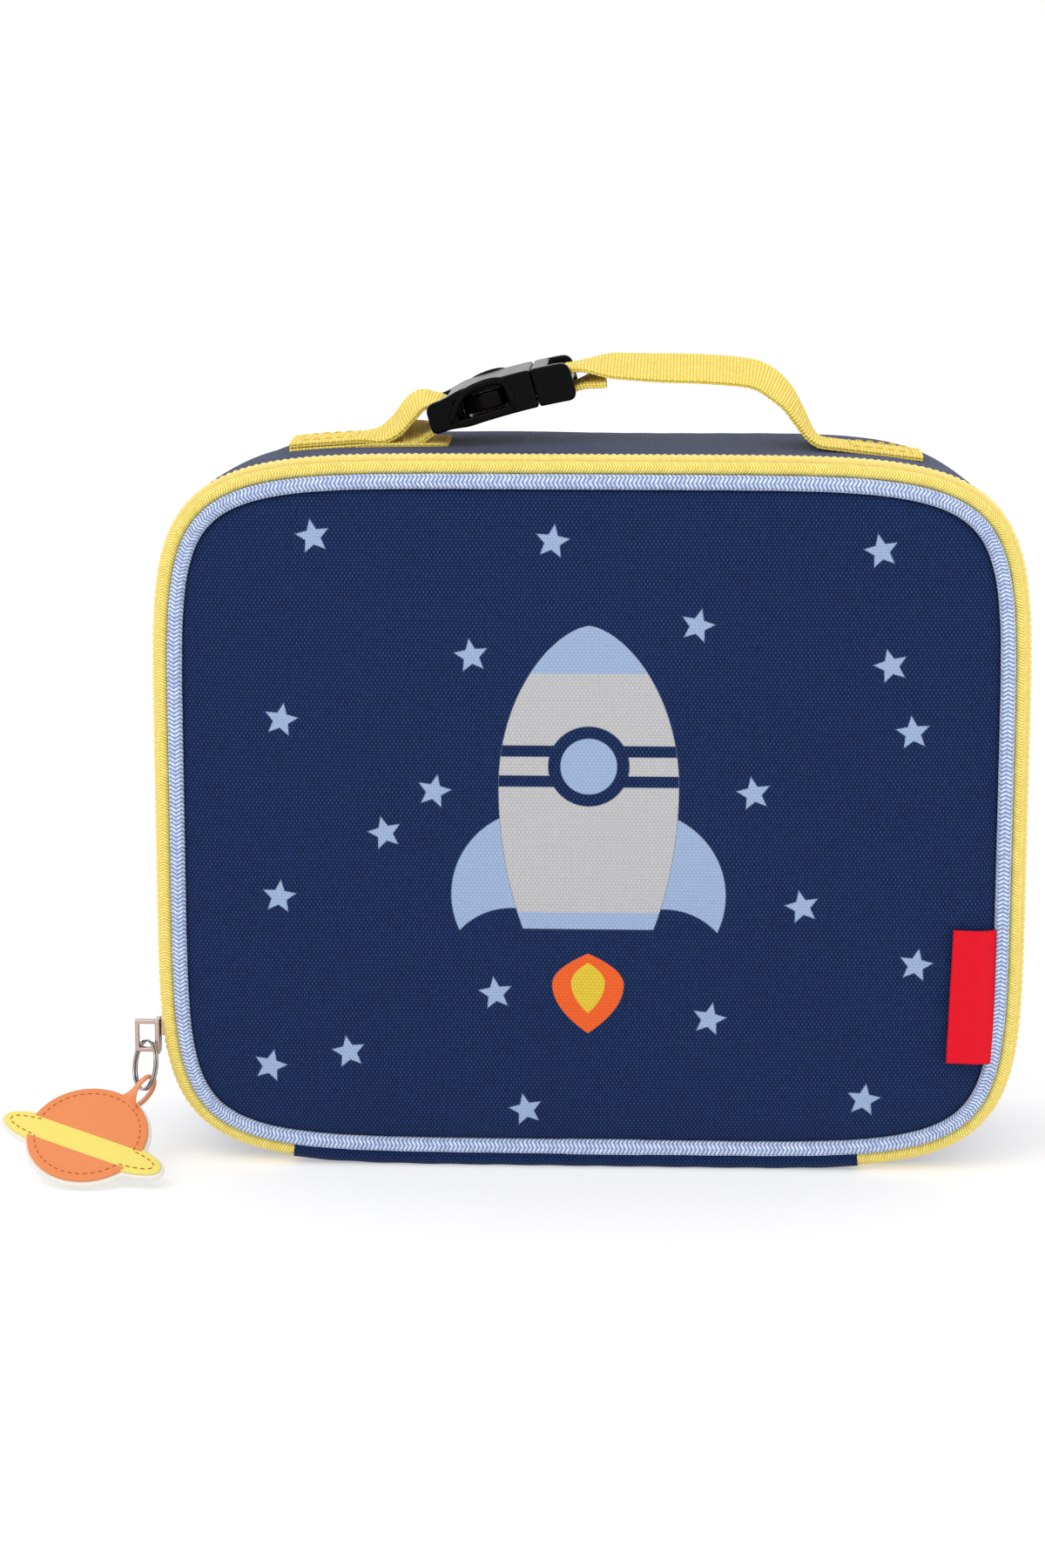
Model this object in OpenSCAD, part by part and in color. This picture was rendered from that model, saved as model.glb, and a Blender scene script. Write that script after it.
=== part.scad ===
// Soft insulated lunch bag for a child: a shallow box of padded fabric that stands on its
// bottom gusset, with a zipped front lid, a webbing handle that opens with a side-release
// buckle, and a leather charm on the zip slider.
// Frame: +X right, +Z up, the lid faces -Y. The origin is the middle of the base, on the floor.

/* [Bag] */
// Width across the zip, the widest place
bag_w = 229; // [180:1:300]
// Height from the floor to the top of the zip
bag_h = 190; // [150:1:260]
// Depth of the case behind the lid, from zip gap to back panel
case_depth = 66; // [45:1:110]
// Outside radius of the four corners of the bag
corner_r = 28; // [22:1:40]

/* [Fabric and padding] */
// Thickness of the outer canvas
fabric_t = 0.8; // [0.5:0.1:1.2]
// Thickness of the insulating foam
foam_t = 5; // [3:0.5:8]
// Thickness of the wipe-clean lining
lining_t = 0.8; // [0.4:0.1:1.2]
// Radius of the piping cord
piping_r = 2; // [1.2:0.1:2.5]
// How far the piping stands inside the zip all round
piping_inset = 4; // [2.5:0.5:6]

/* [Zip] */
// Height of the closed coil, from outside to inside of the bag
coil_t = 2.4; // [1.8:0.1:3]
// Width of one half of the coil
coil_w = 1.6; // [1.2:0.1:2.2]
// Gap between the two coil halves, where the slider's wedge runs
zip_gap = 0.8; // [0.6:0.1:1.2]
// Length of the zip slider
slider_l = 9.5; // [8:0.5:12]
// How far the slider runs up the straight left side
slider_run = 110; // [40:1:120]
// Left end of the zip on the bottom edge, from the middle
zip_end_left = 77; // [60:1:84]
// Right end of the zip on the bottom edge, from the middle
zip_end_right = 70; // [60:1:84]

/* [Handle] */
// Width of the webbing
web_w = 20; // [15:1:25]
// Thickness of the webbing
web_t = 1.8; // [1:0.1:2.2]
// Slope of the buckle as it hangs in the handle, in degrees
buckle_tilt = 16; // [8:1:20]
// Length of the buckle's socket half
socket_l = 29; // [27:1:34]
// Thickness of the buckle
buckle_t = 9.6; // [9:0.1:12]

/* [Charm] */
// Diameter of the split ring, at the middle of its wire
split_ring_d = 13.2; // [12:0.2:16]
// Diameter of the ring's wire
wire_d = 1.2; // [0.8:0.1:1.4]
// Diameter of the planet
planet_d = 32; // [28:1:40]
// Length of the planet's ring
halo_l = 47; // [44:1:60]

/* [Hidden] */
$fn = 48;

navy = "#1b2d57";
sky = "#9fb4da";
yellow = "#ecd676";
strap_yellow = "#f3c62c";
black = "#141212";
silver = "#b9b9bd";

// Room between cloth pieces of different bodies, and between hard running parts
soft_gap = 0.3;
run_gap = 0.2;

// Stations along Y, from the front of the lid to the back panel
rear_coil_y = -28.6;
lid_coil_y = rear_coil_y - zip_gap - coil_w;
mouth_y = rear_coil_y + coil_w;
tape_w = 7;
binding_w = 1;
foam_y = mouth_y + 0.8 + binding_w;
back_y = mouth_y + case_depth;
tape_front_y = lid_coil_y - 1.6;
lid_lining_y = tape_front_y + 1.8;
lid_foam_y = lid_lining_y - lining_t - foam_t;
lid_face_y = lid_foam_y - fabric_t;
front_piping_y = tape_front_y - piping_r;
back_flange_y = back_y - 6.2;
back_piping_y = back_flange_y + piping_r;
back_lining_y = back_flange_y - 1.8;

// Insets from the bag's outline
piping_mid = piping_inset + piping_r;
panel_in = piping_mid + piping_r + 0.2;
pad_in = piping_mid + 3.5;
tape_in = fabric_t;
foam_in = 2 * fabric_t;
lining_in = foam_in + foam_t;

// The outline of the bag at an inset, in the plane of the front panel
module outline(inset = 0) {
  w = bag_w - 2 * inset;
  h = bag_h - 2 * inset;
  r = corner_r - inset;
  translate([-w / 2, inset]) {
    translate([r, 0]) square([w - 2 * r, h]);
    translate([0, r]) square([w, h - 2 * r]);
    for (x = [r, w - r], z = [r, h - r]) translate([x, z]) circle(r);
  }
}

// Extrudes a shape drawn in X and Z from y = from to y = to
module along_y(from, to) {
  translate([0, to, 0]) rotate([90, 0, 0]) linear_extrude(to - from) children();
}

// A flat sheet of the outline's shape
module sheet(inset, from, to) {
  along_y(from, to) outline(inset);
}

// A hoop that follows the outline, between two insets
module hoop(outer, inner, from, to) {
  along_y(from, to) difference() {
    outline(outer);
    outline(inner);
  }
}

// A round cord that follows the outline
module cord_hoop(inset, y, r) {
  mid_x = bag_w / 2 - corner_r;
  bend_r = corner_r - inset;
  translate([0, y, 0]) rotate([90, 0, 0]) {
    for (side = [0, 1]) mirror([side, 0, 0]) {
      translate([mid_x, bag_h - corner_r]) rotate_extrude(angle = 90)
        translate([bend_r, 0]) circle(r);
      translate([mid_x, corner_r]) rotate([0, 0, -90]) rotate_extrude(angle = 90)
        translate([bend_r, 0]) circle(r);
      translate([mid_x + bend_r, corner_r, 0]) rotate([-90, 0, 0])
        cylinder(r = r, h = bag_h - 2 * corner_r);
    }
    for (z = [inset, bag_h - inset]) translate([-mid_x, z, 0]) rotate([0, 90, 0])
      cylinder(r = r, h = 2 * mid_x);
  }
}

// The stretch of the bottom edge with no zip, where the cloth hinge is
module hinge_gap(from, to) {
  translate([-zip_end_left, from, -1])
    cube([zip_end_left + zip_end_right, to - from, 1 + coil_t + 2]);
}

// ---- Lid ----

module front_panel_fabric() {
  color(navy) sheet(panel_in, lid_face_y, lid_foam_y);
}

module front_panel_foam() {
  color("white") sheet(pad_in, lid_foam_y, lid_foam_y + foam_t);
}

module front_panel_lining() {
  color("#dfe3ea") sheet(pad_in, lid_lining_y - lining_t, lid_lining_y);
}

module front_piping() {
  color(sky) {
    cord_hoop(piping_mid, front_piping_y, piping_r);
    hoop(piping_mid, pad_in, tape_front_y - 0.8, tape_front_y);
  }
}

// Flat flange under the piping, and the band that turns back to the coil
module front_zip_tape() {
  color(yellow) {
    hoop(0, pad_in, tape_front_y, tape_front_y + 0.8);
    hoop(0, 1, tape_front_y + 0.8, lid_coil_y);
  }
}

module front_zip_coil() {
  color(yellow) difference() {
    hoop(0, coil_t, lid_coil_y, lid_coil_y + coil_w);
    hinge_gap(lid_coil_y - 1, lid_coil_y + coil_w + 1);
  }
}

module lid_binding() {
  color("#c8ccd6") hoop(pad_in - 2.6, pad_in, tape_front_y + 0.8, lid_lining_y);
}

pocket_w = 170;
pocket_h = 84;
pocket_z = 34;
mesh_t = 0.6;
pocket_y = lid_lining_y;

module mesh_pocket() {
  color("#55607a") translate([-pocket_w / 2, pocket_y, pocket_z])
    cube([pocket_w, mesh_t, pocket_h]);
}

module pocket_binding() {
  color(navy) translate([-pocket_w / 2, pocket_y, pocket_z + pocket_h])
    cube([pocket_w, 1.4, 8]);
}

label_l = 36;
label_w = 11;
label_z = 29;

module side_label() {
  x = bag_w / 2 - panel_in - label_w;
  color("#c40824") translate([x, lid_face_y - fabric_t, label_z])
    cube([label_w, fabric_t, label_l]);
}

// ---- Case ----

module gusset_fabric() {
  color(navy) {
    hoop(0, fabric_t, mouth_y, back_flange_y);
    hoop(0, piping_mid, back_flange_y - fabric_t, back_flange_y);
  }
}

module gusset_foam() {
  color("white") hoop(foam_in, lining_in, foam_y, back_lining_y);
}

module gusset_lining() {
  color("#dfe3ea") hoop(lining_in, lining_in + lining_t, foam_y, back_lining_y);
}

module case_binding() {
  color("#c8ccd6") hoop(foam_in + 0.4, lining_in + lining_t, foam_y - binding_w, foam_y);
}

module rear_zip_coil() {
  color(yellow) difference() {
    hoop(0, coil_t, rear_coil_y, mouth_y);
    hinge_gap(rear_coil_y - 1, mouth_y + 0.5);
  }
}

module rear_zip_tape() {
  color(yellow) hoop(tape_in, foam_in, mouth_y, mouth_y + tape_w);
}

module back_panel_fabric() {
  color(navy) sheet(panel_in, back_y - fabric_t, back_y);
}

module back_panel_foam() {
  color("white") sheet(pad_in, back_y - fabric_t - foam_t, back_y - fabric_t);
}

module back_panel_lining() {
  color("#dfe3ea") sheet(lining_in, back_lining_y, back_lining_y + lining_t);
}

module back_piping() {
  color(sky) {
    cord_hoop(piping_mid, back_piping_y, piping_r);
    hoop(piping_mid, pad_in, back_flange_y, back_flange_y + 0.8);
  }
}

hinge_lift = 0.15;

module hinge_fabric() {
  w = zip_end_left + zip_end_right - 2;
  color(navy) translate([1 - zip_end_left, lid_coil_y + 0.2, hinge_lift])
    cube([w, mouth_y - lid_coil_y - 0.4, fabric_t]);
}

// Cloth tab sewn over each end of the zip, on the case
module zip_end_tab(x) {
  color(navy) translate([x, mouth_y, foam_in]) translate([-4, -1.4, coil_t - foam_in + 0.1])
    cube([8, 1.4, 4]);
}

module zip_end_tab_left() {
  zip_end_tab(-zip_end_left - 3);
}

module zip_end_tab_right() {
  zip_end_tab(zip_end_right + 3);
}

module name_patch() {
  color("white") translate([-30, back_lining_y - 0.6, 120]) cube([60, 0.6, 26]);
}

// ---- Handle ----

handle_y = -2;
socket_seam = [-15, bag_h + 15.3];
buckle_w = web_w + 8;
bar_r = 1.5;
socket_bar = -(socket_l - 1.7);
plug_l = 10.4;
plug_bar = plug_l - 1.8;
wrap_r = bar_r + soft_gap + web_t / 2;
slot_half = web_w / 2 + 0.6;
anchor_end = 82;
anchor_fold = 38;
strap_end = 88;

function tilt_dir(a) = [cos(a), sin(a)];
function on_buckle(x, z) = socket_seam + x * tilt_dir(buckle_tilt)
  + z * tilt_dir(buckle_tilt + 90);
function wrap(centre, from, to) =
  [for (k = [0:9]) centre + wrap_r * tilt_dir(from + (to - from) * k / 9)];

// A smooth curve through points, with the first and last kept
function spline_at(a, b, c, d, t) = 0.5 * (2 * b + (c - a) * t
  + (2 * a - 5 * b + 4 * c - d) * t * t + (3 * b - a - 3 * c + d) * t * t * t);
function smooth(p, n = 4) = let (last = len(p) - 1) concat(
  [for (i = [0:last - 1], k = [0:n - 1])
    spline_at(p[max(i - 1, 0)], p[i], p[i + 1], p[min(i + 2, last)], k / n)],
  [p[last]]);

// Unit normal of a path at point i
function path_normal(p, i) = let (
    a = p[max(i - 1, 0)],
    b = p[min(i + 1, len(p) - 1)],
    d = (b - a) / norm(b - a)
  ) [-d[1], d[0]];
function side_of(p, off) = [for (i = [0:len(p) - 1]) p[i] + off * path_normal(p, i)];
function reversed(p) = [for (i = [len(p) - 1:-1:0]) p[i]];

// Webbing of even thickness along a path in X and Z
module webbing(path) {
  along_y(handle_y - web_w / 2, handle_y + web_w / 2)
    polygon(concat(side_of(path, web_t / 2), reversed(side_of(path, -web_t / 2))));
}

anchor_mid = bag_h + web_t / 2;
upper_mid = bag_h + 1.5 * web_t;

left_path = concat(
  [[-anchor_end, upper_mid]],
  smooth([[-60, upper_mid], [-54, upper_mid + 1.2], [-49.5, upper_mid + 3.5],
    [-45.5, upper_mid + 6], on_buckle(socket_bar, wrap_r)]),
  wrap(on_buckle(socket_bar, 0), buckle_tilt + 80, buckle_tilt - 80),
  smooth([on_buckle(socket_bar, -wrap_r), [-45.3, upper_mid + 1], [-50.5, upper_mid + 0.2]]));

right_path = concat(
  reversed(smooth([on_buckle(plug_bar, -wrap_r), [-2.5, bag_h + 16.6], [3.2, bag_h + 18.3]])),
  wrap(on_buckle(plug_bar, 0), buckle_tilt + 260, buckle_tilt + 100),
  smooth([on_buckle(plug_bar, wrap_r), [-3, bag_h + 21], [4, bag_h + 21.1],
    [16, bag_h + 20.6], [29, bag_h + 20.3], [40, bag_h + 19.4], [48, bag_h + 17.2],
    [54.5, bag_h + 12.7], [58.8, bag_h + 7.8], [62, bag_h + 3.9], [66, bag_h + 1.7],
    [71, anchor_mid]]),
  [[strap_end, anchor_mid]]);

module handle_anchor_left() {
  color(strap_yellow) webbing([[-anchor_end, anchor_mid], [-anchor_fold, anchor_mid]]);
}

module strap_left() {
  color(strap_yellow) webbing(left_path);
}

module strap_right() {
  color(strap_yellow) webbing(right_path);
}

// Rounds the profile of a buckle half, drawn in X and Z along the buckle
module buckle_profile(from, to, r = 2.2) {
  t = buckle_t;
  translate([from, -t / 2]) {
    translate([r, 0]) square([to - from - r, t]);
    translate([0, r]) square([r, t - 2 * r]);
    for (z = [r, t - r]) translate([r, z]) circle(r);
  }
}

module at_buckle() {
  translate([socket_seam[0], handle_y, socket_seam[1]]) rotate([0, -buckle_tilt, 0])
    children();
}

cavity_w = buckle_w - 5.2;
cavity_t = 5.2;
cavity_l = socket_l - 7;
window_from = -(cavity_l - 0.6);
window_to = -7.5;

module buckle_socket() {
  color(black) at_buckle() difference() {
    union() {
      difference() {
        along_y(-buckle_w / 2, buckle_w / 2) buckle_profile(-socket_l, 0);
        translate([-cavity_l, -cavity_w / 2, -cavity_t / 2])
          cube([cavity_l + 1, cavity_w, cavity_t]);
        translate([window_from, -buckle_w, -cavity_t / 2])
          cube([window_to - window_from, 2 * buckle_w, cavity_t]);
        translate([-socket_l - 1, -slot_half, -buckle_t])
          cube([1 + socket_l - cavity_l - 1.2, 2 * slot_half, 2 * buckle_t]);
      }
      translate([socket_bar, slot_half + 0.5, 0]) rotate([90, 0, 0])
        cylinder(r = bar_r, h = 2 * slot_half + 1);
    }
  }
}

tongue_l = 16;
tongue_w = 4.4;
tongue_t = 3.2;

module buckle_plug() {
  color(black) at_buckle() {
    difference() {
      mirror([1, 0, 0]) along_y(-buckle_w / 2, buckle_w / 2) buckle_profile(-plug_l, -0.2);
      translate([4.6, -slot_half, -buckle_t]) cube([plug_l, 2 * slot_half, 2 * buckle_t]);
    }
    translate([plug_bar, slot_half + 0.5, 0]) rotate([90, 0, 0])
      cylinder(r = bar_r, h = 2 * slot_half + 1);
    translate([-tongue_l, -tongue_w / 2, -tongue_t / 2])
      cube([tongue_l + 1, tongue_w, tongue_t]);
  }
}

arm_t = 4.4;
arm_root = 9.3;
arm_in = 7;
arm_tip = -19.5;
arm_out = buckle_w / 2 - 0.4;

// One springy arm, with the thumb pad that stands in the socket's side window
module arm() {
  translate([0, 0, -arm_t / 2]) linear_extrude(arm_t) polygon([
    [-0.4, arm_in], [-0.4, arm_root], [-7.2, arm_root], [-8.3, cavity_w / 2 - 0.4],
    [-8.3, arm_out - 1.4], [-10, arm_out], [-13.5, arm_out], [-16.5, arm_out - 2],
    [arm_tip, arm_root], [arm_tip, arm_in], [-14, arm_in]
  ]);
}

module buckle_arm_front() {
  color(black) at_buckle() mirror([0, 1, 0]) arm();
}

module buckle_arm_rear() {
  color(black) at_buckle() arm();
}

// ---- Zip slider, ring and charm ----

side_x = -bag_w / 2;
slider_z = corner_r + 1;
plate_t = 1.3;
plate_y = rear_coil_y - zip_gap / 2;
plate_half = 2.6;
plate_x = side_x - soft_gap - plate_t;
bridge_gap = 4.4;
bridge_t = 1.2;
bridge_w = 1.8;
bridge_x = plate_x - bridge_gap - bridge_t;
bridge_lift = 0.3;
ring_slack = 1.2;
ring_share = 0.59;
wedge_t = zip_gap - 2 * run_gap;
under_x = side_x + coil_t + soft_gap;
under_t = 1;

module zip_slider() {
  color(silver) {
    translate([plate_x, plate_y - plate_half, slider_z])
      cube([plate_t, 2 * plate_half, slider_l]);
    translate([under_x, lid_coil_y + 0.1, slider_z])
      cube([under_t, 2 * coil_w + zip_gap - 0.3, slider_l]);
    translate([plate_x + 0.5, plate_y - wedge_t / 2, slider_z + slider_l / 2])
      cube([under_x + under_t / 2 - plate_x - 0.5, wedge_t, slider_l / 2]);
    translate([bridge_x, plate_y - bridge_w / 2, slider_z + bridge_lift]) difference() {
      cube([plate_x - bridge_x + 0.3, bridge_w, slider_l - 2 * bridge_lift]);
      translate([bridge_t, -1, bridge_t])
        cube([bridge_gap, bridge_w + 2, slider_l - 2 * bridge_lift - 2 * bridge_t]);
    }
  }
}

// The ring hangs from the bridge and leans forward and down to the charm
ring_x = plate_x - ring_share * bridge_gap;
ring_top = [ring_x, plate_y, slider_z + bridge_lift + bridge_t + wire_d / 2 + ring_slack];
ring_lean = 22.4;
ring_turn = 33;
ring_foot = ring_top - split_ring_d * [0, sin(ring_lean), cos(ring_lean)];

module split_ring() {
  color(silver) translate(ring_top) rotate([-ring_lean, 0, 0]) rotate([0, 0, ring_turn])
    translate([0, 0, -split_ring_d / 2]) rotate([0, 90, 0])
      rotate_extrude() translate([split_ring_d / 2, 0]) circle(d = wire_d);
}

// The charm leans on its lower edge, with its face up and to the front
charm_lean = 32;
charm_roll = -36.7;
backing_t = 1.6;
patch_t = 0.8;
edge = 0.8;
planet_y = -(planet_d / 2 + 5.2);
halo_tilt = 10.7;
halo_w = 11;
band_half = 3.6;
loop_w = 2.4;
loop_r = 3;
loop_t = 1;

module at_charm() {
  translate(ring_foot) rotate([charm_lean, 0, 0]) rotate([0, 0, charm_roll]) children();
}

module planet_shape(grow = 0) {
  translate([0, planet_y]) circle(d = planet_d + 2 * grow);
}

// Long tips with round ends, joined by the band across the planet
module halo_shape(grow = 0) {
  r = halo_w / 2 + grow;
  reach = halo_l / 2 + grow - r;
  translate([0, planet_y]) rotate(halo_tilt) {
    square([2 * reach, 2 * r], center = true);
    for (x = [-reach, reach]) translate([x, 0]) circle(r);
  }
}

// The half plane above (side 1) or below (side -1) the band
module beyond_band(side) {
  translate([0, planet_y]) rotate(halo_tilt)
    translate([-planet_d, side > 0 ? band_half : -band_half - 2 * planet_d])
      square([2 * planet_d, 2 * planet_d]);
}

module charm_backing() {
  color("#efece4") at_charm() translate([0, 0, -backing_t]) linear_extrude(backing_t) {
    planet_shape(edge);
    halo_shape(edge);
  }
}

module charm_halo() {
  color("#ebdf7c") at_charm() linear_extrude(patch_t) difference() {
    union() {
      halo_shape();
      intersection() {
        planet_shape();
        translate([0, planet_y]) rotate(halo_tilt)
          square([planet_d * 2, 2 * band_half], center = true);
      }
    }
    intersection() {
      planet_shape();
      union() {
        beyond_band(1);
        beyond_band(-1);
      }
    }
  }
}

module charm_planet_top() {
  color("#ef9455") at_charm() linear_extrude(patch_t) intersection() {
    planet_shape();
    beyond_band(1);
  }
}

module charm_planet_bottom() {
  color("#ef9455") at_charm() linear_extrude(patch_t) intersection() {
    planet_shape();
    beyond_band(-1);
  }
}

// A strip that goes round the ring's wire and is sewn to the front of the planet
module charm_loop() {
  color("#ef9455") at_charm() translate([-loop_w / 2, 0, 0]) rotate([90, 0, 90])
    linear_extrude(loop_w) {
      difference() {
        circle(loop_r + loop_t);
        circle(loop_r);
      }
      translate([planet_y + planet_d / 2 - 5, patch_t])
        square([5 - planet_y - planet_d / 2 - loop_r - 0.3, loop_t]);
    }
}

front_panel_fabric();
front_panel_foam();
front_panel_lining();
front_piping();
front_zip_tape();
front_zip_coil();
lid_binding();
mesh_pocket();
pocket_binding();
side_label();
gusset_fabric();
gusset_foam();
gusset_lining();
case_binding();
rear_zip_coil();
rear_zip_tape();
back_panel_fabric();
back_panel_foam();
back_panel_lining();
back_piping();
hinge_fabric();
zip_end_tab_left();
zip_end_tab_right();
name_patch();
handle_anchor_left();
strap_left();
strap_right();
buckle_socket();
buckle_plug();
buckle_arm_front();
buckle_arm_rear();
zip_slider();
split_ring();
charm_backing();
charm_halo();
charm_planet_top();
charm_planet_bottom();
charm_loop();
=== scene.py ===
# %% [markdown]
# # A child's soft lunch bag
# The bag is a shallow box of padded canvas with a zipped lid, a webbing handle with a buckle,
# and a leather charm on the zip. Nearly all of it is cloth that runs round one outline, so this
# lesson first writes that outline as a formula, and then carries different profiles along it:
# padding, piping, zip tape, zip coil and binding. The hard parts keep their CAD shapes.

# %% Start: the imported frame and units
import math

import bmesh
import bpy
import numpy as np
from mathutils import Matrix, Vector


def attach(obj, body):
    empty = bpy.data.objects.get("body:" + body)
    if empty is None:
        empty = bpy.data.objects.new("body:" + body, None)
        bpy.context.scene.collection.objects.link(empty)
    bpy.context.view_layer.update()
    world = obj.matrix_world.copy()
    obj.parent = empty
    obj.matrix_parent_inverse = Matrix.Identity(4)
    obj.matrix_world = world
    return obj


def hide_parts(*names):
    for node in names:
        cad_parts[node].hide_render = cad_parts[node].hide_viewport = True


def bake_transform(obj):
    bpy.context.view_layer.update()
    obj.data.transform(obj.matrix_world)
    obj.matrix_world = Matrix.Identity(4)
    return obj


MM = 0.001
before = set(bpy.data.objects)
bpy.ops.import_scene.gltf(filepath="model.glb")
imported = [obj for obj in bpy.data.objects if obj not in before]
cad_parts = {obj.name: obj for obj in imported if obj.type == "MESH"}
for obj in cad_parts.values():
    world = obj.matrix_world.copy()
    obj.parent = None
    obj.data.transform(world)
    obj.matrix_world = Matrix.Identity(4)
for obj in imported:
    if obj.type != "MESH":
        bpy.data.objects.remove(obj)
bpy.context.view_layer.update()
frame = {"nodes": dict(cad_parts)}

# %% [markdown]
# ## Camera
# The lid is seen almost square on, from a little above and a little to the right, with a long
# lens from a metre away, so that the sides stay nearly parallel.

# %% Camera
camera_data = bpy.data.cameras.new("camera")
camera = bpy.data.objects.new("camera", camera_data)
bpy.context.scene.collection.objects.link(camera)
bpy.context.scene.camera = camera
azimuth, elevation, distance = math.radians(2.5), math.radians(11.5), 1.0
target = Vector((-18.5, -10, 99.5)) * MM
back = Vector((math.sin(azimuth) * math.cos(elevation), -math.cos(azimuth) * math.cos(elevation),
               math.sin(elevation)))
camera.location = target + back * distance
camera.rotation_euler = (-back).to_track_quat("-Z", "Y").to_euler()
camera_data.sensor_width = 36
camera_data.lens = 85.5

# %% [markdown]
# ## Meshes from grids
# Every new piece is a grid of points worked out with numpy. A grid may close on itself in
# either direction. Its UV map holds real metres along and across the cloth, so a weave has the
# same thread size on every piece.

# %% Grid helpers


def quads(rows, cols, wrap_rows, wrap_cols):
    """Corner numbers of the quads of a grid, and the unwrapped row and column of each corner."""
    i, j = np.meshgrid(np.arange(rows if wrap_rows else rows - 1),
                       np.arange(cols if wrap_cols else cols - 1), indexing="ij")
    row = np.stack([i, i + 1, i + 1, i], -1).reshape(-1, 4)
    col = np.stack([j, j, j + 1, j + 1], -1).reshape(-1, 4)
    return (row % rows) * cols + col % cols, row, col


def finish_mesh(name, points, faces, loop_uv, materials, face_material=None, sharp=55):
    """Puts points in mm into a mesh, merges its poles, turns its faces outwards, shades it smooth
    except at edges sharper than the given angle, and returns its object."""
    mesh = bpy.data.meshes.new(name)
    mesh.from_pydata((np.asarray(points).reshape(-1, 3) * MM).tolist(), [], faces)
    mesh.uv_layers.new(name="UVMap").data.foreach_set("uv", np.asarray(loop_uv).ravel())
    for material in materials:
        mesh.materials.append(material)
    if face_material is not None:
        mesh.polygons.foreach_set("material_index", face_material)
    mesh.polygons.foreach_set("use_smooth", [True] * len(mesh.polygons))
    work = bmesh.new()
    work.from_mesh(mesh)
    bmesh.ops.remove_doubles(work, verts=work.verts, dist=1e-7)
    bmesh.ops.recalc_face_normals(work, faces=work.faces)
    work.to_mesh(mesh)
    work.free()
    mesh.set_sharp_from_angle(angle=math.radians(sharp))
    piece = bpy.data.objects.new(name, mesh)
    bpy.context.scene.collection.objects.link(piece)
    print(f"{name}: {len(mesh.polygons)} faces")
    return piece


def grid_piece(name, points, u, v, materials, wrap_rows=False, wrap_cols=True,
               column_material=None, sharp=55):
    """A piece from a rows x cols x 3 grid in mm. u and v are the cloth's lengths in mm along rows
    and columns. A tube that doesn't close along its rows gets a flat cap at each end."""
    rows, cols = points.shape[:2]
    faces, row, col = quads(rows, cols, wrap_rows, wrap_cols)
    uv = np.stack([np.asarray(u)[row], np.asarray(v)[col]], -1).reshape(-1, 2) * MM
    index = None if column_material is None else np.asarray(column_material)[col[:, 0]]
    face_list = faces.tolist()
    if wrap_cols and not wrap_rows:
        face_list += [list(range(cols))[::-1], list(range((rows - 1) * cols, rows * cols))]
        ring = np.stack([np.zeros(cols), np.asarray(v)[:cols]], -1) * MM
        uv = np.concatenate([uv, ring[::-1], ring])
        if index is not None:
            index = np.append(index, [index[0], index[0]])
    return finish_mesh(name, points, face_list, uv, materials, index, sharp)


def belongs(piece, body, slot, *nodes):
    """Attaches a piece to the body it rides on, and hides the CAD nodes that it stands for, if
    any.
    The slot argument is not used."""
    if nodes:
        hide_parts(*nodes)
    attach(piece, body)


def rounded(value, power):
    """The value's size to a power, with its sign kept. Below one it squares off a cosine."""
    return np.sign(value) * np.abs(value) ** power


# %% [markdown]
# ## The outline
# The real bag has softly bowed sides and round corners. A superellipse, where the powers of the
# two distances from the middle add up to one, has just that form with a single number for the
# corners. It is resampled so that equal steps are equal lengths of seam.

# %% The outline as a function of seam length
HALF_W, HALF_H, POWER = 114.5, 95.0, 6.1


def dense_outline(samples=3000):
    """Closed outline in mm, from the middle of the bottom edge towards +X and round. Flat parts
    step evenly in x, upright parts in z, with the other from |x/a|^p + |z/b|^p = 1."""
    half = 0.5 ** (1 / POWER)
    t = np.linspace(-half, half, samples, endpoint=False)
    other = (1 - np.abs(t) ** POWER) ** (1 / POWER)
    x = np.concatenate([t, other, -t, -other])
    z = np.concatenate([-other, t, other, -t])
    start = samples // 2
    return np.roll(x, -start) * HALF_W, np.roll(z, -start) * HALF_H


dense_x, dense_z = dense_outline()
step = np.hypot(np.diff(dense_x, append=dense_x[0]), np.diff(dense_z, append=dense_z[0]))
dense_s = np.concatenate([[0], np.cumsum(step)])
SEAM = dense_s[-1]
dense_x, dense_z = np.append(dense_x, dense_x[0]), np.append(dense_z, dense_z[0])
print("seam length in mm:", round(SEAM, 1))


def outline(s):
    """Points (x, z) and outward normals on the outline at seam lengths s in mm, z from the
    floor. The normal is the gradient of the superellipse."""
    s = np.mod(s, SEAM)
    x, z = np.interp(s, dense_s, dense_x), np.interp(s, dense_s, dense_z)
    nx = np.sign(x) * np.abs(x / HALF_W) ** (POWER - 1) / HALF_W
    nz = np.sign(z) * np.abs(z / HALF_H) ** (POWER - 1) / HALF_H
    length = np.hypot(nx, nz)
    return np.stack([x, z + HALF_H], -1), np.stack([nx, nz], -1) / length[:, None]


def around(s, inset, y):
    """Grid of points: the profile (inset, y) carried along the seam lengths s. A point lies at
    the outline less inset times the outward normal, and never below the floor."""
    at, normal = outline(s)
    inset = np.broadcast_to(inset, (len(s), np.shape(inset)[-1]))
    y = np.broadcast_to(y, inset.shape)
    x = at[:, :1] - inset * normal[:, :1]
    z = at[:, 1:] - inset * normal[:, 1:]
    return np.stack([x, y, np.maximum(z, 0)], -1)


def corner(s):
    """One at the middle of each rounded corner and zero on the straight sides."""
    normal = outline(s)[1]
    return (2 * np.abs(normal[:, 0] * normal[:, 1])) ** 1.5


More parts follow.
